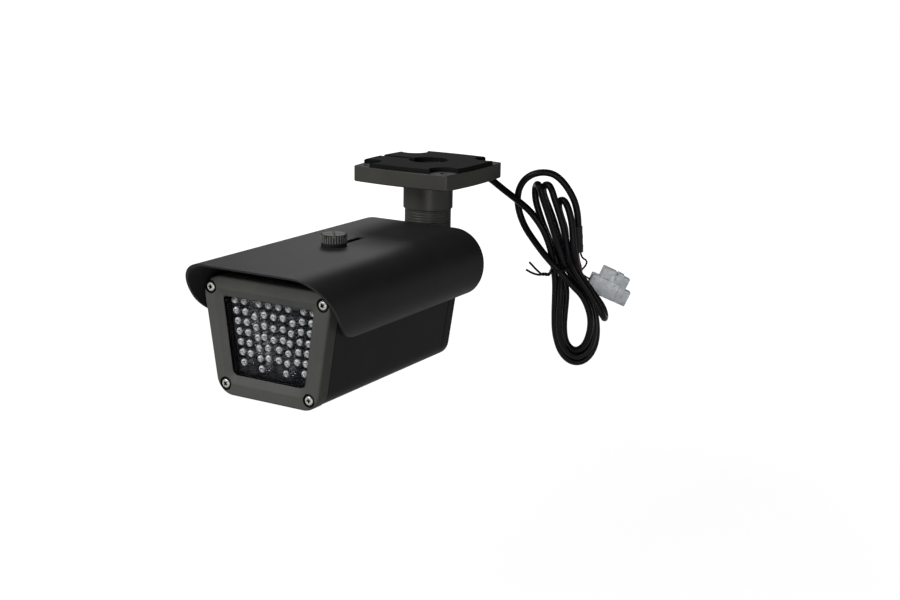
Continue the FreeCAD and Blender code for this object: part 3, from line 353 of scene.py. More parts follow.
def powderCoat(name, colour, dustWearAndHighlight, sheen=0.01, graze=0.12, gloss=0.45, grain=0.0005, edge=0.0005,
               pocketShadeRadius=0):
    # matt body under a thin sheen that grows at a low angle; fine orange peel, edges painted lighter, part
    # wear and part painted highlight
    coat = Finish(name, Specular_IOR_Level=0.0, Roughness=0.7)
    cloud = coat.noise(0.03, 4)
    peel = coat.noise(grain, 2)
    dust = coat.noise(0.0012, 2, rough=0.7).over(0.62, 0.8)
    soft, mask = coat.edges(edge)
    darker = tuple(part * 0.88 for part in colour)
    lighter = tuple(part * 1.12 for part in colour)
    body = coat.mix(cloud.over(0.3, 0.7), darker, lighter)
    body = coat.mix(dust * 0.12, body, dustWearAndHighlight)
    # edges painted lighter: part wear, part painted highlight
    body = coat.mix(mask * (0.35 + cloud * 0.6), body, dustWearAndHighlight)
    if pocketShadeRadius:
        # painted shade, with some dirt, darkening the pockets round the screw heads
        parts = coat.node("ShaderNodeSeparateXYZ", None, {"Vector": coat.place()})
        across, up = coat.flow(parts, "X"), coat.flow(parts, "Z")
        for x, z in cornerScrews:
            reach = ((across - x * mm) ** 2 + (up - z * mm) ** 2) ** 0.5
            shade = tuple(part * 0.08 for part in colour)
            # painted shade within this reach of each screw axis
            body = coat.mix(reach.over(pocketShadeRadius, pocketShadeRadius + 0.0001), shade, body)
    coat.colour(body)
    uneven = coat.bump(peel, 0.22, 0.00006, soft)
    shine = coat.node("ShaderNodeBsdfAnisotropic", None, {"Color": (1, 1, 1, 1), "Roughness": gloss,
                                                          "Normal": uneven})
    facing = coat.flow(coat.node("ShaderNodeLayerWeight"), "Facing")
    coat.blend(sheen + mask * sheen + facing ** 5 * graze, shine.outputs[0])
    return coat.material


def brightSteel(name, colour=(0.72, 0.71, 0.69), rough=0.26, streak=(1, 1, 1)):
    steel = Finish(name, Metallic=1.0)
    lines = steel.noise(0.0004, 2, steel.place(streak))
    stain = steel.noise(0.004, 3)
    soft, mask = steel.edges(0.0002)
    steel.colour(steel.mix(stain.over(0.4, 0.8) * 0.5, colour, tuple(part * 0.7 for part in colour)))
    steel.roughness(rough + lines * 0.16 - mask * 0.1)
    steel.bump(lines, 0.15, 0.00003, soft)
    return steel.material


def knurledPaint(name, colour, worn, recessShade, middle, rim, top):
    # painted knob: random tone between the plain and a worn paler colour; painted shade darkens the flutes
    # and the cross slot, the ridge tops keep the plain colour
    paint = Finish(name, Specular_IOR_Level=0.04, Roughness=0.45)
    parts = paint.node("ShaderNodeSeparateXYZ", None, {
        "Vector": paint.place(shift=(-middle[0], -middle[1], -top))})
    across, deep, height = (paint.flow(parts, axis) for axis in "XYZ")
    reach = (across ** 2 + deep ** 2) ** 0.5
    grit = paint.noise(0.0008, 3)
    ridge = reach.over(rim - 0.00042, rim - 0.00008)
    fluteShade = reach.over(rim - 0.0011, rim - 0.0007)
    narrow = across.math("ABSOLUTE").math("MINIMUM", deep.math("ABSOLUTE"))
    sunk = (height * -1).over(0.00015, 0.0003) * (1 - (height * -1).over(0.0015, 0.0016)) * (
        1 - narrow.over(0.00068, 0.00075))
    body = paint.mix(grit.over(0.3, 0.7), colour, worn)
    # painted shade down the flutes
    body = paint.mix(fluteShade * (1 - ridge) * 0.9, body, recessShade)
    # painted shade in the cross slot
    paint.colour(paint.mix(sunk, body, recessShade))
    paint.roughness(0.4 + grit * 0.2)
    paint.bump(grit, 0.2, 0.00004, paint.edges(0.0003)[0])
    return paint.material


def moulded(name, colour, second, rough=0.4, size=0.004, level=0.15, grain=0.0005):
    part = Finish(name, Specular_IOR_Level=level)
    flowLines = part.noise(size, 4)
    grit = part.noise(grain, 2)
    soft, mask = part.edges(0.0003)
    part.colour(part.mix(flowLines.over(0.35, 0.7), colour, second))
    part.roughness(rough + grit * 0.12 - mask * 0.08)
    part.bump(grit, 0.15, 0.00004, soft)
    return part.material


def circuitBoard(name, mask, copper):
    # dark solder mask over rows of tracks
    board = Finish(name, Specular_IOR_Level=0.03)
    runs = board.flow(board.node("ShaderNodeTexBrick", {"offset": 0.5}, {
        "Vector": board.place(turn=(math.pi / 2, 0, 0)), "Scale": 190, "Mortar Size": 0.012,
        "Brick Width": 1.1, "Row Height": 0.5}), "Fac")
    cloud = board.noise(0.02, 3)
    grit = board.noise(0.0004, 2)
    board.colour(board.mix(runs * 0.5 + cloud.over(0.45, 0.7) * 0.25, mask, copper))
    board.roughness(0.32 + grit * 0.15)
    board.bump(runs, 0.3, 0.00005)
    return board.material


def seeThrough(name, tint, gloss, rough, base=0.02, patch=0.004):
    # clear sheet or lens: what is behind shows, with gloss that grows at a low angle and comes in patches
    clear = Finish(name)
    tree = clear.tree
    tree.nodes.remove(clear.shader)
    weight = Flow(clear, clear.node("ShaderNodeLayerWeight", None, {"Blend": 0.35}).outputs["Fresnel"])
    through = clear.node("ShaderNodeBsdfTransparent", None, {"Color": (*tint, 1)})
    shine = clear.node("ShaderNodeBsdfAnisotropic", None, {"Color": (1, 1, 1, 1), "Roughness": rough})
    patches = clear.noise(patch, 2).over(0.3, 0.7)
    blend = clear.node("ShaderNodeMixShader", None, {0: base + weight * patches * gloss})
    tree.links.new(through.outputs[0], blend.inputs[1])
    tree.links.new(shine.outputs[0], blend.inputs[2])
    tree.links.new(blend.outputs[0], tree.nodes["Material Output"].inputs[0])
    return clear.material


finishes = {
    "bracket": powderCoat("bracketCoat", (0.035, 0.034, 0.030), (0.080, 0.079, 0.074), 0.014, 0.06, 0.36),
    "housing": powderCoat("housingCoat", (0.017, 0.0175, 0.019), (0.038, 0.039, 0.041), 0.005),
    "bezel": powderCoat("bezelCoat", (0.060, 0.0595, 0.0565), (0.125, 0.124, 0.118), 0.008, pocketShadeRadius=0.0040),
    "hood": powderCoat("hoodCoat", (0.022, 0.0222, 0.0225), (0.055, 0.055, 0.054), 0.007, 0.12, 0.45, 0.0006),
    "rubber": powderCoat("blackRubber", (0.007, 0.0075, 0.0075), (0.014, 0.015, 0.015),
                         0.002, 0.03, 0.6, 0.0009),
    "steel": brightSteel("brightScrews", (0.40, 0.39, 0.375), 0.34),
    "blackSteel": moulded("blackenedSteel", (0.010, 0.010, 0.010), (0.018, 0.018, 0.017), 0.45, 0.004, 0.04),
    "knob": knurledPaint("knobPaint", (0.105, 0.105, 0.101), (0.150, 0.149, 0.143), (0.010, 0.010, 0.010),
                         (0.0, -0.105), 0.0079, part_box("hood_knob")[1].z),
    "glass": seeThrough("windowGlass", (0.95, 0.96, 0.97), 0.02, 0.02, 0.002),
    "frame": powderCoat("windowFramePlastic", (0.004, 0.004, 0.005), (0.010, 0.010, 0.012), 0.003, 0.03, 0.5),
    "board": circuitBoard("lampBoardMask", (0.006, 0.007, 0.010), (0.020, 0.024, 0.034)),
    # dark steel for the cross recesses: painted shade
    "recess": brightSteel("screwRecessShade", (0.05, 0.05, 0.05), 0.5),
    "pillar": brightSteel("nickelPillars", (0.62, 0.55, 0.42), 0.3),
    "ferrite": moulded("ferriteCore", (0.030, 0.030, 0.032), (0.050, 0.050, 0.052), 0.6),
    "can": moulded("capacitorSleeve", (0.012, 0.018, 0.050), (0.020, 0.028, 0.070), 0.25),
    "sink": brightSteel("sinkAluminium", (0.55, 0.55, 0.56), 0.4, (1, 8, 1)),
    "package": moulded("regulatorPackage", (0.014, 0.014, 0.014), (0.024, 0.024, 0.024), 0.55),
    "terminal": moulded("terminalBlock", (0.020, 0.150, 0.060), (0.028, 0.190, 0.080), 0.4),
    "jacket": moulded("cordJacket", (0.0020, 0.0020, 0.0028), (0.0042, 0.0042, 0.0056), 0.32, 0.006, 0.09),
    "sleeve": moulded("sleeveBlack", (0.010, 0.009, 0.012), (0.018, 0.016, 0.021), 0.5, 0.003),
    "redWire": moulded("redWireInsulation", (0.20, 0.004, 0.018), (0.27, 0.008, 0.028), 0.3, 0.002),
    "blackWire": moulded("blackWireInsulation", (0.006, 0.006, 0.007), (0.011, 0.011, 0.012), 0.25, 0.002),
    "tie": moulded("tieBlack", (0.004, 0.004, 0.004), (0.009, 0.009, 0.009), 0.35, 0.002, 0.06),
}


def plugNylon(name, colour, second, deep):
    # milky nylon: cloudy, darker where the inside shows through
    nylon = Finish(name, Subsurface_Weight=0.25, Subsurface_Radius=(0.002, 0.002, 0.002))
    cloud = nylon.noise(0.0045, 4)
    inside = nylon.noise(0.0022, 2, rough=0.4)
    soft, mask = nylon.edges(0.0004)
    body = nylon.mix(cloud.over(0.38, 0.66), colour, second)
    nylon.colour(nylon.mix(inside.over(0.55, 0.72) * 0.55 + mask * 0.35, body, deep))
    nylon.roughness(0.34 + cloud * 0.15)
    nylon.bump(cloud, 0.1, 0.0001, soft)
    return nylon.material


finishes["plug"] = plugNylon("plugNylon", (0.57, 0.605, 0.64), (0.77, 0.80, 0.82), (0.36, 0.39, 0.41))
finishes["plugSkirt"] = plugNylon("plugSkirtNylon", (0.42, 0.45, 0.48), (0.61, 0.64, 0.66),
                                  (0.26, 0.285, 0.305))

cadFinish = {
    "bracket": ("base_plate", "swivel_stem", "tilt_arm"),
    "housing": ("housing_shell", "rear_cover"),
    "bezel": ("front_bezel",),
    "hood": ("hood",),
    "rubber": ("base_gasket", "cable_grommet", "front_gasket", "rear_gasket"),
    "steel": ("stem_washer", "stem_nut", "tilt_bolt", "tilt_nut", "tilt_washers", "arm_screws",
              "rear_screws", "bezel_screws", "board_screws"),
    "blackSteel": ("pan_lock_screw", "hood_post", "clamp_ring"),
    "knob": ("hood_knob",),
    "glass": ("window",),
    "frame": ("window_frame",),
    "board": ("lamp_board", "driver_board"),
    "pillar": ("board_pillars",),
    "ferrite": ("inductor",),
    "can": ("capacitors",),
    "sink": ("heat_sink",),
    "package": ("regulator", "light_sensor"),
    "terminal": ("terminal_block",),
    "jacket": ("inner_cord", "supply_lead"),
}
for finishName, nodeNames in cadFinish.items():
    for nodeName in nodeNames:
        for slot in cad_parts[nodeName].material_slots:
            slot.material = finishes[finishName]
print("finishes ready")


hank = {"heading": 30.7, "depth": 38.0, "radius": 2.35, "length": 1.12}


def inHank(across, behind, height):
    # across the hank, behind its middle plane, and height: millimetres to metres
    heading = math.radians(hank["heading"])
    depth = hank["depth"] + behind
    return (mm * (across * math.cos(heading) - depth * math.sin(heading)),
            mm * (across * math.sin(heading) + depth * math.cos(heading)), mm * height)


leadPoints = [(0, 0.03865, -0.005), (0.0003, 0.050, -0.008), inHank(39.0, 12, -15),
              inHank(50.0, 8, -23.3), inHank(58.3, 4, -28.9)]
turnPoints = [
    # down through the tie
    (67.4, 1.2, -35.7), (73.3, -0.6, -42.6), (78.3, -1.2, -50.2), (82.0, -0.6, -59.2), (84.5, 0.6, -68.3),
    # outermost lower loop, down the left and up the right
    (85.9, 0.8, -76.3), (87.2, 1.0, -85.3), (87.4, 1.0, -95.4), (87.4, 1.0, -106.5), (87.8, 1.0, -117.7),
    (89.2, 1.0, -125.8), (92.3, 1.0, -134.5), (97.3, 1.2, -140.5), (103.1, 1.5, -143.0),
    (109.3, 2.0, -141.6), (114.6, 3.2, -136.0), (117.2, 4.0, -127.4), (117.3, 4.3, -118.0),
    (115.6, 5.0, -107.5), (111.3, 5.5, -96.8), (105.6, 5.3, -87.5), (99.6, 4.6, -79.9), (96.0, 4.2, -74.4),
    # middle upper loop
    (93.5, 4.9, -68.1), (90.8, 5.2, -61.2), (88.0, 5.2, -53.3), (85.1, 4.8, -44.4), (81.6, 4.5, -35.5),
    (78.1, 4.8, -27.6), (76.8, 4.2, -22.4), (77.7, 1.6, -18.8), (80.2, -1.6, -18.0), (82.3, -4.0, -21.1),
    (84.5, -4.4, -28.0), (87.1, -4.2, -35.0), (90.3, -3.8, -44.6), (92.5, -3.8, -52.4), (94.0, -3.8, -60.2),
    (95.5, -5.0, -66.9),
    # short fold in front, beside the tie
    (97.9, -7.0, -71.8), (100.8, -8.2, -77.1), (104.9, -9.2, -83.1), (109.3, -9.8, -89.2),
    (113.0, -10.4, -94.9), (116.6, -11.0, -100.9), (118.9, -11.4, -105.1), (120.6, -9.0, -107.9),
    (121.5, -4.4, -109.3), (121.8, -1.8, -107.0), (120.0, -2.0, -102.1), (116.0, -2.8, -96.2),
    (111.2, -3.0, -89.9), (106.8, -3.2, -84.0), (102.8, -3.4, -78.6), (100.6, -3.6, -72.6),
    # right upper loop
    (99.7, -4.6, -65.9), (98.1, -5.2, -58.9), (97.5, -4.8, -52.1), (96.7, -4.4, -44.8), (95.4, -4.2, -38.8),
    (93.5, -3.6, -32.9), (91.3, -2.2, -28.7), (88.7, 0.4, -28.4), (87.6, 2.0, -31.6), (88.2, 2.2, -36.2),
    (90.2, 2.0, -42.0), (92.3, 1.6, -47.6), (93.4, 1.3, -54.4), (93.5, 1.0, -61.3), (92.6, 0.2, -69.1),
    # middle lower loop
    (91.7, 0.0, -74.8), (91.1, -0.2, -82.0), (90.9, -2.3, -89.5), (90.7, -2.9, -99.4), (90.3, -2.9, -108.5),
    (90.5, -2.8, -117.6), (92.1, -2.4, -126.0), (95.8, -1.8, -133.5), (102.3, -1.2, -138.1),
    (108.8, -0.8, -136.2), (113.2, -0.2, -130.2), (115.0, 0.2, -121.9), (114.8, 0.7, -114.0),
    (112.9, 1.8, -105.2), (108.8, 1.8, -95.7), (103.3, 0.4, -86.7), (97.9, -1.8, -79.5), (93.1, -3.9, -72.9),
    # left upper loop
    (90.5, -4.4, -66.1), (87.9, -4.6, -59.2), (85.2, -4.8, -51.3), (82.1, -5.0, -42.5), (79.0, -5.2, -33.8),
    (76.4, -5.8, -26.7), (74.6, -6.2, -20.3), (73.2, -3.4, -17.7), (72.3, 3.2, -18.8), (71.5, 6.2, -22.9),
    (72.3, 6.0, -30.5), (74.4, 5.2, -37.2), (77.4, 5.2, -45.6), (80.8, 5.2, -53.4), (83.9, 5.2, -61.3),
    (87.1, 4.9, -69.2),
    # innermost lower loop
    (89.5, 4.6, -75.9), (92.5, 4.4, -83.0), (95.0, 3.0, -90.7), (95.0, 2.2, -98.6), (94.4, 2.0, -107.6),
    (94.0, 2.0, -116.8), (95.0, 1.6, -126.2), (98.1, 0.6, -131.8), (102.6, -1.0, -133.8),
    (107.9, -2.4, -130.6), (110.9, -3.6, -123.4), (112.3, -4.0, -113.9), (110.8, -4.3, -104.2),
    (105.7, -4.3, -93.5), (98.6, -4.5, -86.8), (92.1, -4.8, -79.5), (87.4, -4.7, -74.7),
    # large loop over the top and down into the sleeve
    (82.7, -3.6, -70.2), (77.6, -1.0, -64.6), (71.6, 3.0, -57.3), (65.9, 6.5, -49.5), (62.3, 8.6, -41.7),
    (60.3, 9.0, -33.8), (60.1, 8.6, -26.8), (61.6, 7.0, -20.6), (65.0, 5.0, -15.2), (70.6, 3.0, -11.4),
    (77.4, 1.4, -10.1), (84.2, 0.4, -11.4), (90.3, 0.0, -16.6), (95.2, 0.0, -23.5), (98.7, 0.0, -30.5),
    (100.7, 0.0, -38.8), (101.3, 0.0, -46.7), (101.8, 0.0, -53.5), (102.3, 0.0, -60.5),
]


def softLine(name, points, radius, material, steps=8, sides=5):
    line = bpy.data.curves.new(name, "CURVE")
    line.dimensions, line.resolution_u = "3D", steps
    line.bevel_depth, line.bevel_resolution, line.use_fill_caps = radius, sides, True
    spline = line.splines.new("NURBS")
    spline.points.add(len(points) - 1)
    for point, place in zip(spline.points, points):
        point.co = (*place, 1)
    spline.order_u = 3
    spline.use_endpoint_u = True
    piece = bpy.data.objects.new(name, line)
    bpy.context.scene.collection.objects.link(piece)
    line.materials.append(material)
    return piece


cord = softLine("tiedCord", leadPoints + [inHank(*point) for point in turnPoints],
                hank["radius"] * mm, finishes["jacket"])
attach(cord, "base")
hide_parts("cord_lead", "cord_bundle")

# sleeve over the cord's end: a shrunk tube with a lip at each end and slight waves
sleeve = {"top": (101.3, 0, -46.2), "end": (102.6, 0, -64.4), "radius": 2.86, "rings": 12,
          "lip": 0.0006, "waves": ((0.035, 900, 0), (0.02, 2300, 1)), "evenEnd": 0.0008}
sleeveTop, sleeveEnd = Vector(inHank(*sleeve["top"])), Vector(inHank(*sleeve["end"]))
sleeveAlong = sleeveEnd - sleeveTop
begin()
bpy.ops.mesh.primitive_cylinder_add(vertices=28, radius=sleeve["radius"] * mm, depth=sleeveAlong.length,
                                    end_fill_type="NGON")
sleevePiece = bpy.context.object
edit(sleevePiece)
half = sleeveAlong.length / 2
for face in range(1, sleeve["rings"]):
    bpy.ops.mesh.select_all(action="SELECT")
    bpy.ops.mesh.bisect(plane_co=(0, 0, -half + 2 * half * face / sleeve["rings"]), plane_no=(0, 0, 1))
pickEdges(lambda a, b: abs(abs(a.z) - half) < 1e-5 and abs(abs(b.z) - half) < 1e-5)
bpy.ops.mesh.bevel(offset=sleeve["lip"], segments=3, affect="EDGES")
bpy.ops.object.mode_set(mode="OBJECT")
for vertex in sleevePiece.data.vertices:
    wave = 1
    for share, rate, start in sleeve["waves"]:
        wave -= share * math.sin(vertex.co.z * rate + start)
    if abs(vertex.co.z) < half - sleeve["evenEnd"]:
        vertex.co.x *= wave
        vertex.co.y *= wave
sleevePiece.matrix_world = Matrix.Translation((sleeveTop + sleeveEnd) / 2) @ (
    sleeveAlong.to_track_quat("Z", "Y").to_matrix().to_4x4())
settle(sleevePiece, "cordSleeve", 60)
dress(sleevePiece, finishes["sleeve"])
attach(sleevePiece, "base")
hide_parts("cord_sleeve")


plug = {"slant": 24.0, "length": 29.4, "height": 12.4, "width": 9.0, "body": 20.3, "bodyBevel": 0.5,
        "corner": (114.0, 12.6, -81.1), "rearInset": 0.0011, "rearDepth": 0.0012, "rearTaper": 0.94}
skirt = {"drop": 1.6, "step": 0.8, "overlap": 0.8, "bevel": 0.45}
plugSocket = {"height": 4.0, "halfWidth": 2.0, "depth": 8, "floor": 1.4, "roof": 1.6}
crown = {"start": 4.7, "length": 20.2, "low": -2.4, "height": 7.6, "bevel": 0.45,
         "grooveStart": 9.6, "grooveEnd": 11.0, "grooveDepth": 2.2, "stepOverlap": 0.4, "stepDepth": 1.3}
latchRib = {"start": 7.4, "end": 10.4, "low": -1.6, "drop": 2.6, "out": 0.3, "bevel": 0.25}
past = 1   # how far a cutter reaches past what it cuts
plugTurn = math.radians(plug["slant"])
headingTurn = math.radians(hank["heading"])
plugAlong = Vector((math.cos(plugTurn) * math.cos(headingTurn), math.cos(plugTurn) * math.sin(headingTurn),
                    -math.sin(plugTurn)))
plugBehind = Vector((-math.sin(headingTurn), math.cos(headingTurn), 0))
plugUp = plugBehind.cross(plugAlong) * -1
plugCorner = Vector(inHank(*plug["corner"]))
plugPlace = Matrix.Translation(plugCorner) @ Matrix((plugAlong, plugBehind, plugUp)).transposed().to_4x4()


def plugPoint(along, up):
    return plugCorner + mm * (plugAlong * along + plugUp * up)


def plugBlock(start, end, low, high, halfWidth, bevel):
    begin()
    bpy.ops.mesh.primitive_cube_add(size=1, location=((start + end) / 2 * mm, 0, (low + high) / 2 * mm),
                                    scale=((end - start) * mm, 2 * halfWidth * mm, (high - low) * mm))
    block = bpy.context.object
    bpy.ops.object.transform_apply(location=True, rotation=True, scale=True)
    if bevel:
        edit(block, "EDGE")
        bpy.ops.mesh.select_all(action="SELECT")
        bpy.ops.mesh.bevel(offset=bevel * mm, segments=3, affect="EDGES")
        bpy.ops.object.mode_set(mode="OBJECT")
    return block


halfWidth = plug["width"] / 2
skirtHalf = halfWidth - skirt["step"]
plugBody = plugBlock(0, plug["body"], -plug["height"], 0, halfWidth, plug["bodyBevel"])
edit(plugBody)
pickFaces(lambda normal: normal.x < -0.9)
bpy.ops.mesh.inset(thickness=plug["rearInset"])
push((plug["rearDepth"], 0, 0), plug["rearTaper"])
bpy.ops.object.mode_set(mode="OBJECT")
plugSkirt = plugBlock(plug["body"] - skirt["overlap"], plug["length"], -plug["height"], -skirt["drop"],
                      skirtHalf, skirt["bevel"])
for low in (-plug["height"] + plugSocket["floor"],
            -skirt["drop"] - plugSocket["roof"] - plugSocket["height"]):
    carve(plugSkirt, plugBlock(plug["length"] - plugSocket["depth"], plug["length"] + past,
                               low, low + plugSocket["height"], plugSocket["halfWidth"], 0))
crownEnd = crown["start"] + crown["length"]
plugCrown = plugBlock(crown["start"], crownEnd, crown["low"], crown["height"], skirtHalf, crown["bevel"])
carve(plugCrown, plugBlock(crown["start"] + crown["grooveStart"], crown["start"] + crown["grooveEnd"],
                           crown["height"] - crown["grooveDepth"], crown["height"] + past,
                           halfWidth + past, 0))
carve(plugCrown, plugBlock(plug["body"] - crown["stepOverlap"], crownEnd + past,
                           crown["height"] - crown["stepDepth"], crown["height"] + past,
                           halfWidth + past, 0))
latch = plugBlock(crown["start"] + latchRib["start"], crown["start"] + latchRib["end"], latchRib["low"],
                  crown["height"] - latchRib["drop"], skirtHalf + latchRib["out"], latchRib["bevel"])
for part, finishName in ((plugBody, "plug"), (plugSkirt, "plugSkirt"), (plugCrown, "plugSkirt"),
                         (latch, "plug")):
    part.data.transform(plugPlace)
    dress(part, finishes[finishName])
plugPiece = joined([plugBody, plugSkirt, plugCrown, latch], "plugShell")
settle(plugPiece, "plugShell", 40)
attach(plugPiece, "base")
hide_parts("plug")

wireSize = {"radius": 0.00065, "redHeight": -9.0, "blackHeight": -5.2}
redPoints = [inHank(101.9, 0, -63.2), inHank(102.6, 1.5, -69.5), inHank(105.2, 6.0, -76.5),
             tuple(plugPoint(-5.2, wireSize["redHeight"])), tuple(plugPoint(1.4, wireSize["redHeight"]))]
blackPoints = [inHank(103.4, 0, -63.2), inHank(103.9, 0.5, -68.0), inHank(108.9, 3.5, -71.0),
               inHank(107.6, 6.0, -75.6), inHank(104.8, 7.5, -78.8),
               tuple(plugPoint(-5.0, wireSize["blackHeight"])),
               tuple(plugPoint(1.4, wireSize["blackHeight"]))]
for wireName, points, slotName in (("redWire", redPoints, "wire_red"),
                                   ("blackWire", blackPoints, "wire_black")):
    wire = softLine(wireName, points, wireSize["radius"], finishes[wireName], steps=10, sides=3)
    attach(wire, "base")
    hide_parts("red_wire" if wireName == "redWire" else "black_wire")

# twist tie: once round the waist, then twisted with itself and left in two tails
tiePoints = [(84.0, -5.6, -78.0), (87.0, -7.6, -77.0), (92.0, -7.4, -75.6), (96.6, -6.9, -74.2),
             (98.4, -4.0, -73.6), (98.4, 3.0, -73.6), (97.0, 7.4, -74.2), (91.0, 7.9, -75.8),
             (86.0, 7.6, -77.4), (83.6, 4.0, -78.2), (83.3, -2.0, -78.4)]
twistPoints = [(82.6, -5.2, -79.0), (81.6, -6.2, -79.6), (80.6, -5.4, -78.4), (79.6, -4.2, -78.6),
               (78.6, -4.8, -79.7), (77.6, -5.8, -79.2), (76.2, -5.4, -78.2)]
otherTwist = [(83.2, -4.2, -78.2), (82.2, -4.0, -78.4), (81.2, -4.6, -79.7), (80.0, -5.8, -79.5),
              (79.0, -5.6, -78.3), (78.0, -4.4, -78.6), (76.6, -4.4, -79.8)]
tails = {"upper": [(73.0, -4.9, -75.4), (70.6, -4.8, -72.8), (68.6, -4.6, -70.8)],
         "lower": [(73.2, -4.8, -79.2), (69.4, -4.8, -77.8), (66.6, -4.8, -76.0)]}
tieRadius = 0.00075
tieRun = tails["lower"][::-1] + otherTwist[::-1] + tiePoints + twistPoints + tails["upper"]
tieLoop = softLine("twistTie", [inHank(*point) for point in tieRun], tieRadius, finishes["tie"],
                   steps=8, sides=3)
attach(tieLoop, "base")
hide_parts("twist_tie")

print("cord, plug and tie ready")


def crossScrew(head, height, shank, length, recess, pitch, threadRoot=0.84):
    # head towards -Y with its seat at y = 0, cross recess, threaded shank towards +Y
    begin()
    bpy.ops.mesh.primitive_cylinder_add(vertices=32, radius=head * mm, depth=height * mm,
                                        location=(0, -height / 2 * mm, 0), rotation=(math.pi / 2, 0, 0))
    screw = bpy.context.object
    bpy.ops.object.transform_apply(location=True, rotation=True, scale=True)
    edit(screw, "EDGE")
    pickEdges(lambda a, b: a.y < -height * mm + 1e-6 and b.y < -height * mm + 1e-6)
    bpy.ops.mesh.bevel(offset=0.34 * head * mm, segments=4, affect="EDGES")
    bpy.ops.mesh.select_mode(type="FACE")
    pickFaces(lambda normal: normal.y > 0.9)
    bpy.ops.mesh.inset(thickness=(head - shank) * mm)
    turns = int(length / pitch)
    for turn in range(turns):
        push((0, pitch * 0.3 * mm, 0), threadRoot)
        push((0, pitch * 0.3 * mm, 0), 1 / threadRoot)
        push((0, pitch * 0.4 * mm, 0))
    bpy.ops.object.mode_set(mode="OBJECT")
    for turn in range(2):
        begin()
        bpy.ops.mesh.primitive_cube_add(size=1, location=(0, -height * mm, 0), scale=(
            recess * mm, 1.4 * height * mm, 0.36 * recess * mm))
        cutter = bpy.context.object
        bpy.ops.object.transform_apply(location=True, rotation=True, scale=True)
        edit(cutter)
        pickFaces(lambda normal: normal.y > 0.9)
        bpy.ops.transform.resize(value=(0.5, 1, 0.7))
        bpy.ops.object.mode_set(mode="OBJECT")
        cutter.data.transform(Matrix.Rotation(math.radians(35 + 90 * turn), 4, "Y"))
        carve(screw, cutter)
    screw.data.materials.clear()
    for finishName in ("steel", "recess"):
        screw.data.materials.append(finishes[finishName])
    # faces inside the cross recess take the dark steel: painted shade
    for face in screw.data.polygons:
        sunk = -height * mm + 1e-5 < face.center.y < -1e-5
        face.material_index = int(sunk and math.hypot(face.center.x, face.center.z) < 0.53 * recess * mm)
    return screw


def screwSet(name, model, places, node, facing=Matrix.Identity(4)):
    copies = [copyOf(model, Matrix.Translation(Vector(place) * mm) @ facing @ Matrix.Rotation(turn, 4, "Y"))
              for place, turn in places]
    bpy.data.objects.remove(model)
    piece = joined(copies, name)
    settle(piece, name, 35)
    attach(piece, "housing")
    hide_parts(node)
    return piece


screwSize = {"head": 2.75, "height": 2.4, "shank": 1.5, "length": 19.5, "recess": 3.6, "pitch": 0.8}
screwTurns = (0.3, 1.1, 0.75, 0.0)
bezelSeat = -168.75
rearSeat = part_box("rear_screws")[1].y / mm - screwSize["height"]


def screwPlaces(seat):
    return [((x, seat, z), turn) for (x, z), turn in zip(cornerScrews, screwTurns)]


screwSet("bezelScrews", crossScrew(**screwSize), screwPlaces(bezelSeat), "bezel_screws")
screwSet("rearScrews", crossScrew(**screwSize), screwPlaces(rearSeat), "rear_screws",
         Matrix.Rotation(math.pi, 4, "Z"))
print("screws ready")


diode = {"radius": 2.5, "rim": 2.9, "rimHeight": 1.0, "tip": -165.0, "length": 8.6, "dome": 0.92,
         "top": -60.7, "pitch": 6.0}
cupSize = {"radius": 2.2, "depth": 2.2, "middle": 1.25, "dome": 0.88,
           "tapers": ((0.0016, 0.42), (0.0044, 0.8))}


def diodePlaces():
    # rows and columns as shares of the row pitch and of the window's half width there
    places = []

    def add(share, row):
        z = diode["top"] - diode["pitch"] * row
        x = share * (31.6 + 0.138 * (z + 57.7))
        places.extend([(-x, z), (x, z)] if x else [(0.0, z)])

    for row in range(7):
        add(0.882 - 0.011 * row, row)
    for row in range(6):
        add(0.670 - 0.0127 * row, row)
        add(0.442 - 0.0225 * row, row + 1.32)
    add(0.332, 0)
    add(0.112, 0)
    for row in range(3):
        add(0.217 + 0.007 * row, 1 + 1.07 * row)
        add(0, 1.07 + 1.1 * row)
    for row in range(2):
        add(0.139, 4.13 + 1.03 * row)
    return places


def lensModel():
    # domed body with a rim at its foot, tip towards -Y at y = 0
    begin()
    depth = (diode["length"] - diode["rimHeight"]) * mm
    bpy.ops.mesh.primitive_cylinder_add(vertices=20, radius=diode["radius"] * mm, depth=depth,
                                        location=(0, depth / 2, 0), rotation=(math.pi / 2, 0, 0))
    lens = bpy.context.object
    bpy.ops.object.transform_apply(location=True, rotation=True, scale=True)
    edit(lens, "EDGE")
    pickEdges(lambda a, b: a.y < 1e-6 and b.y < 1e-6)
    bpy.ops.mesh.bevel(offset=diode["dome"] * diode["radius"] * mm, segments=5, affect="EDGES")
    bpy.ops.mesh.select_mode(type="FACE")
    pickFaces(lambda normal: normal.y > 0.9)
    push((0, 0, 0), diode["rim"] / diode["radius"])
    push((0, diode["rimHeight"] * mm, 0))
    bpy.ops.object.mode_set(mode="OBJECT")
    return lens


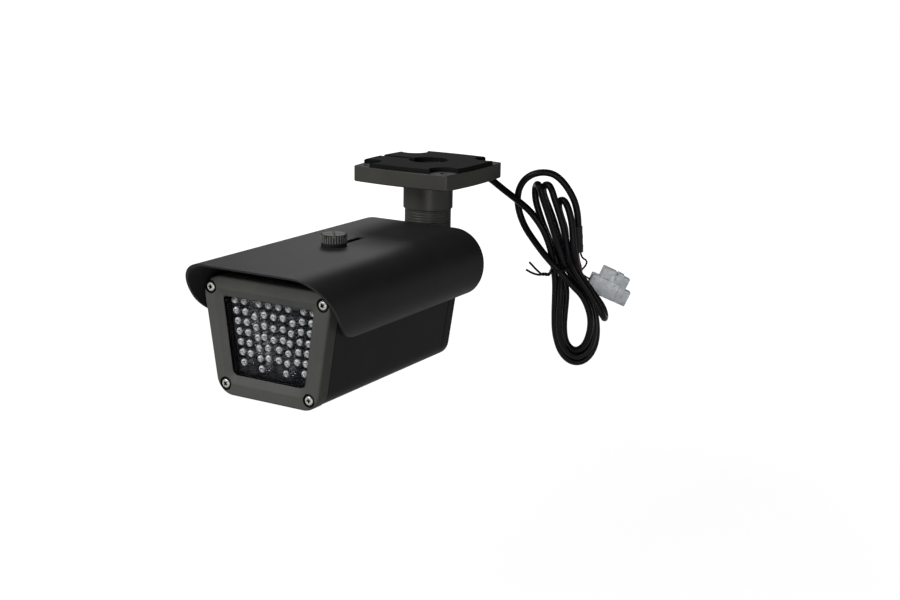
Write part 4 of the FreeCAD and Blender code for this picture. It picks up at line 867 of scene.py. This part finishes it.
def cupModel():
    # the reflector cup as its lens shows it: a dome just under the clear one, tapering to the lead post
    begin()
    bpy.ops.mesh.primitive_cylinder_add(vertices=18, radius=cupSize["radius"] * mm,
                                        depth=cupSize["depth"] * mm, rotation=(math.pi / 2, 0, 0),
                                        location=(0, cupSize["middle"] * mm, 0))
    cup = bpy.context.object
    bpy.ops.object.transform_apply(location=True, rotation=True, scale=True)
    edit(cup, "EDGE")
    pickEdges(lambda a, b: a.y < 0.0004 and b.y < 0.0004)
    bpy.ops.mesh.bevel(offset=cupSize["dome"] * cupSize["radius"] * mm, segments=4, affect="EDGES")
    bpy.ops.mesh.select_mode(type="FACE")
    pickFaces(lambda normal: normal.y > 0.9)
    for depth, scale in cupSize["tapers"]:
        push((0, depth, 0), scale)
    bpy.ops.object.mode_set(mode="OBJECT")
    layer = cup.data.uv_layers.active or cup.data.uv_layers.new(name="UVMap")
    for loop in cup.data.loops:
        spot = cup.data.vertices[loop.vertex_index].co
        layer.data[loop.index].uv = (spot.x / (cupSize["radius"] * mm), spot.z / (cupSize["radius"] * mm))
    return cup


def cupPaintedReflections(name):
    # cup seen through its lens, painted by the distance from the middle: painted glints standing in for its
    # reflections, paler towards the upper left where light falls, a dark arc, one painted highlight spot
    metal = Finish(name, Specular_IOR_Level=0.05, Roughness=0.5)
    parts = metal.node("ShaderNodeSeparateXYZ", None, {
        "Vector": metal.node("ShaderNodeTexCoord").outputs["UV"]})
    across, up = metal.flow(parts, "X"), metal.flow(parts, "Y")
    wobble = metal.noise(0.0011, 2)
    fine = metal.noise(0.00045, 2)

    def nearTo(x, z, size, soft):
        # 1 within size of a place, 0 beyond size + soft
        reach = ((across - x) ** 2 + (up - z) ** 2) ** 0.5 + (wobble - 0.5) * 0.5
        return 1 - reach.over(size, size + soft)

    outer, inner = nearTo(0.08, -0.05, 0.50, 0.08), nearTo(0.08, -0.05, 0.28, 0.08)
    ring = outer * (1 - inner) * (up - across * 0.8).over(-0.5, 0.1)
    # painted reflection glints, lighter towards the upper left: painted light
    paintedGlints = (fine * 1.6 + (up - across) * 0.16).over(0.55, 1.05)
    body = metal.mix(paintedGlints, (0.20, 0.20, 0.20), (1.0, 0.99, 0.98))
    body = metal.mix(nearTo(0, 0, 0.84, 0.14), (0.06, 0.06, 0.06), body)
    body = metal.mix(ring, body, (0.06, 0.06, 0.06))
    # painted highlight: the bright spot the lens focuses on the cup
    body = metal.mix(nearTo(0.3, -0.5, 0.17, 0.15), body, (1.0, 1.0, 1.0))
    metal.colour(body)
    metal.roughness(0.45 + fine * 0.2)
    metal.bump(fine, 0.5, 0.0002)
    return metal.material


finishes["lens"] = seeThrough("clearEpoxy", (0.90, 0.90, 0.89), 0.36, 0.10, 0.006, 0.0008)
finishes["cup"] = cupPaintedReflections("cupPaintedReflectionsMaterial")
for kind, model, finishName in (("diodeLenses", lensModel(), "lens"), ("diodeCups", cupModel(), "cup")):
    copies = [copyOf(model, Matrix.Translation((x * mm, diode["tip"] * mm, z * mm)))
              for x, z in diodePlaces()]
    bpy.data.objects.remove(model)
    piece = joined(copies, kind)
    settle(piece, kind, 50)
    dress(piece, finishes[finishName])
    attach(piece, "housing")
    if kind == "diodeLenses":
        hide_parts("infrared_diodes")
print("diodes ready")
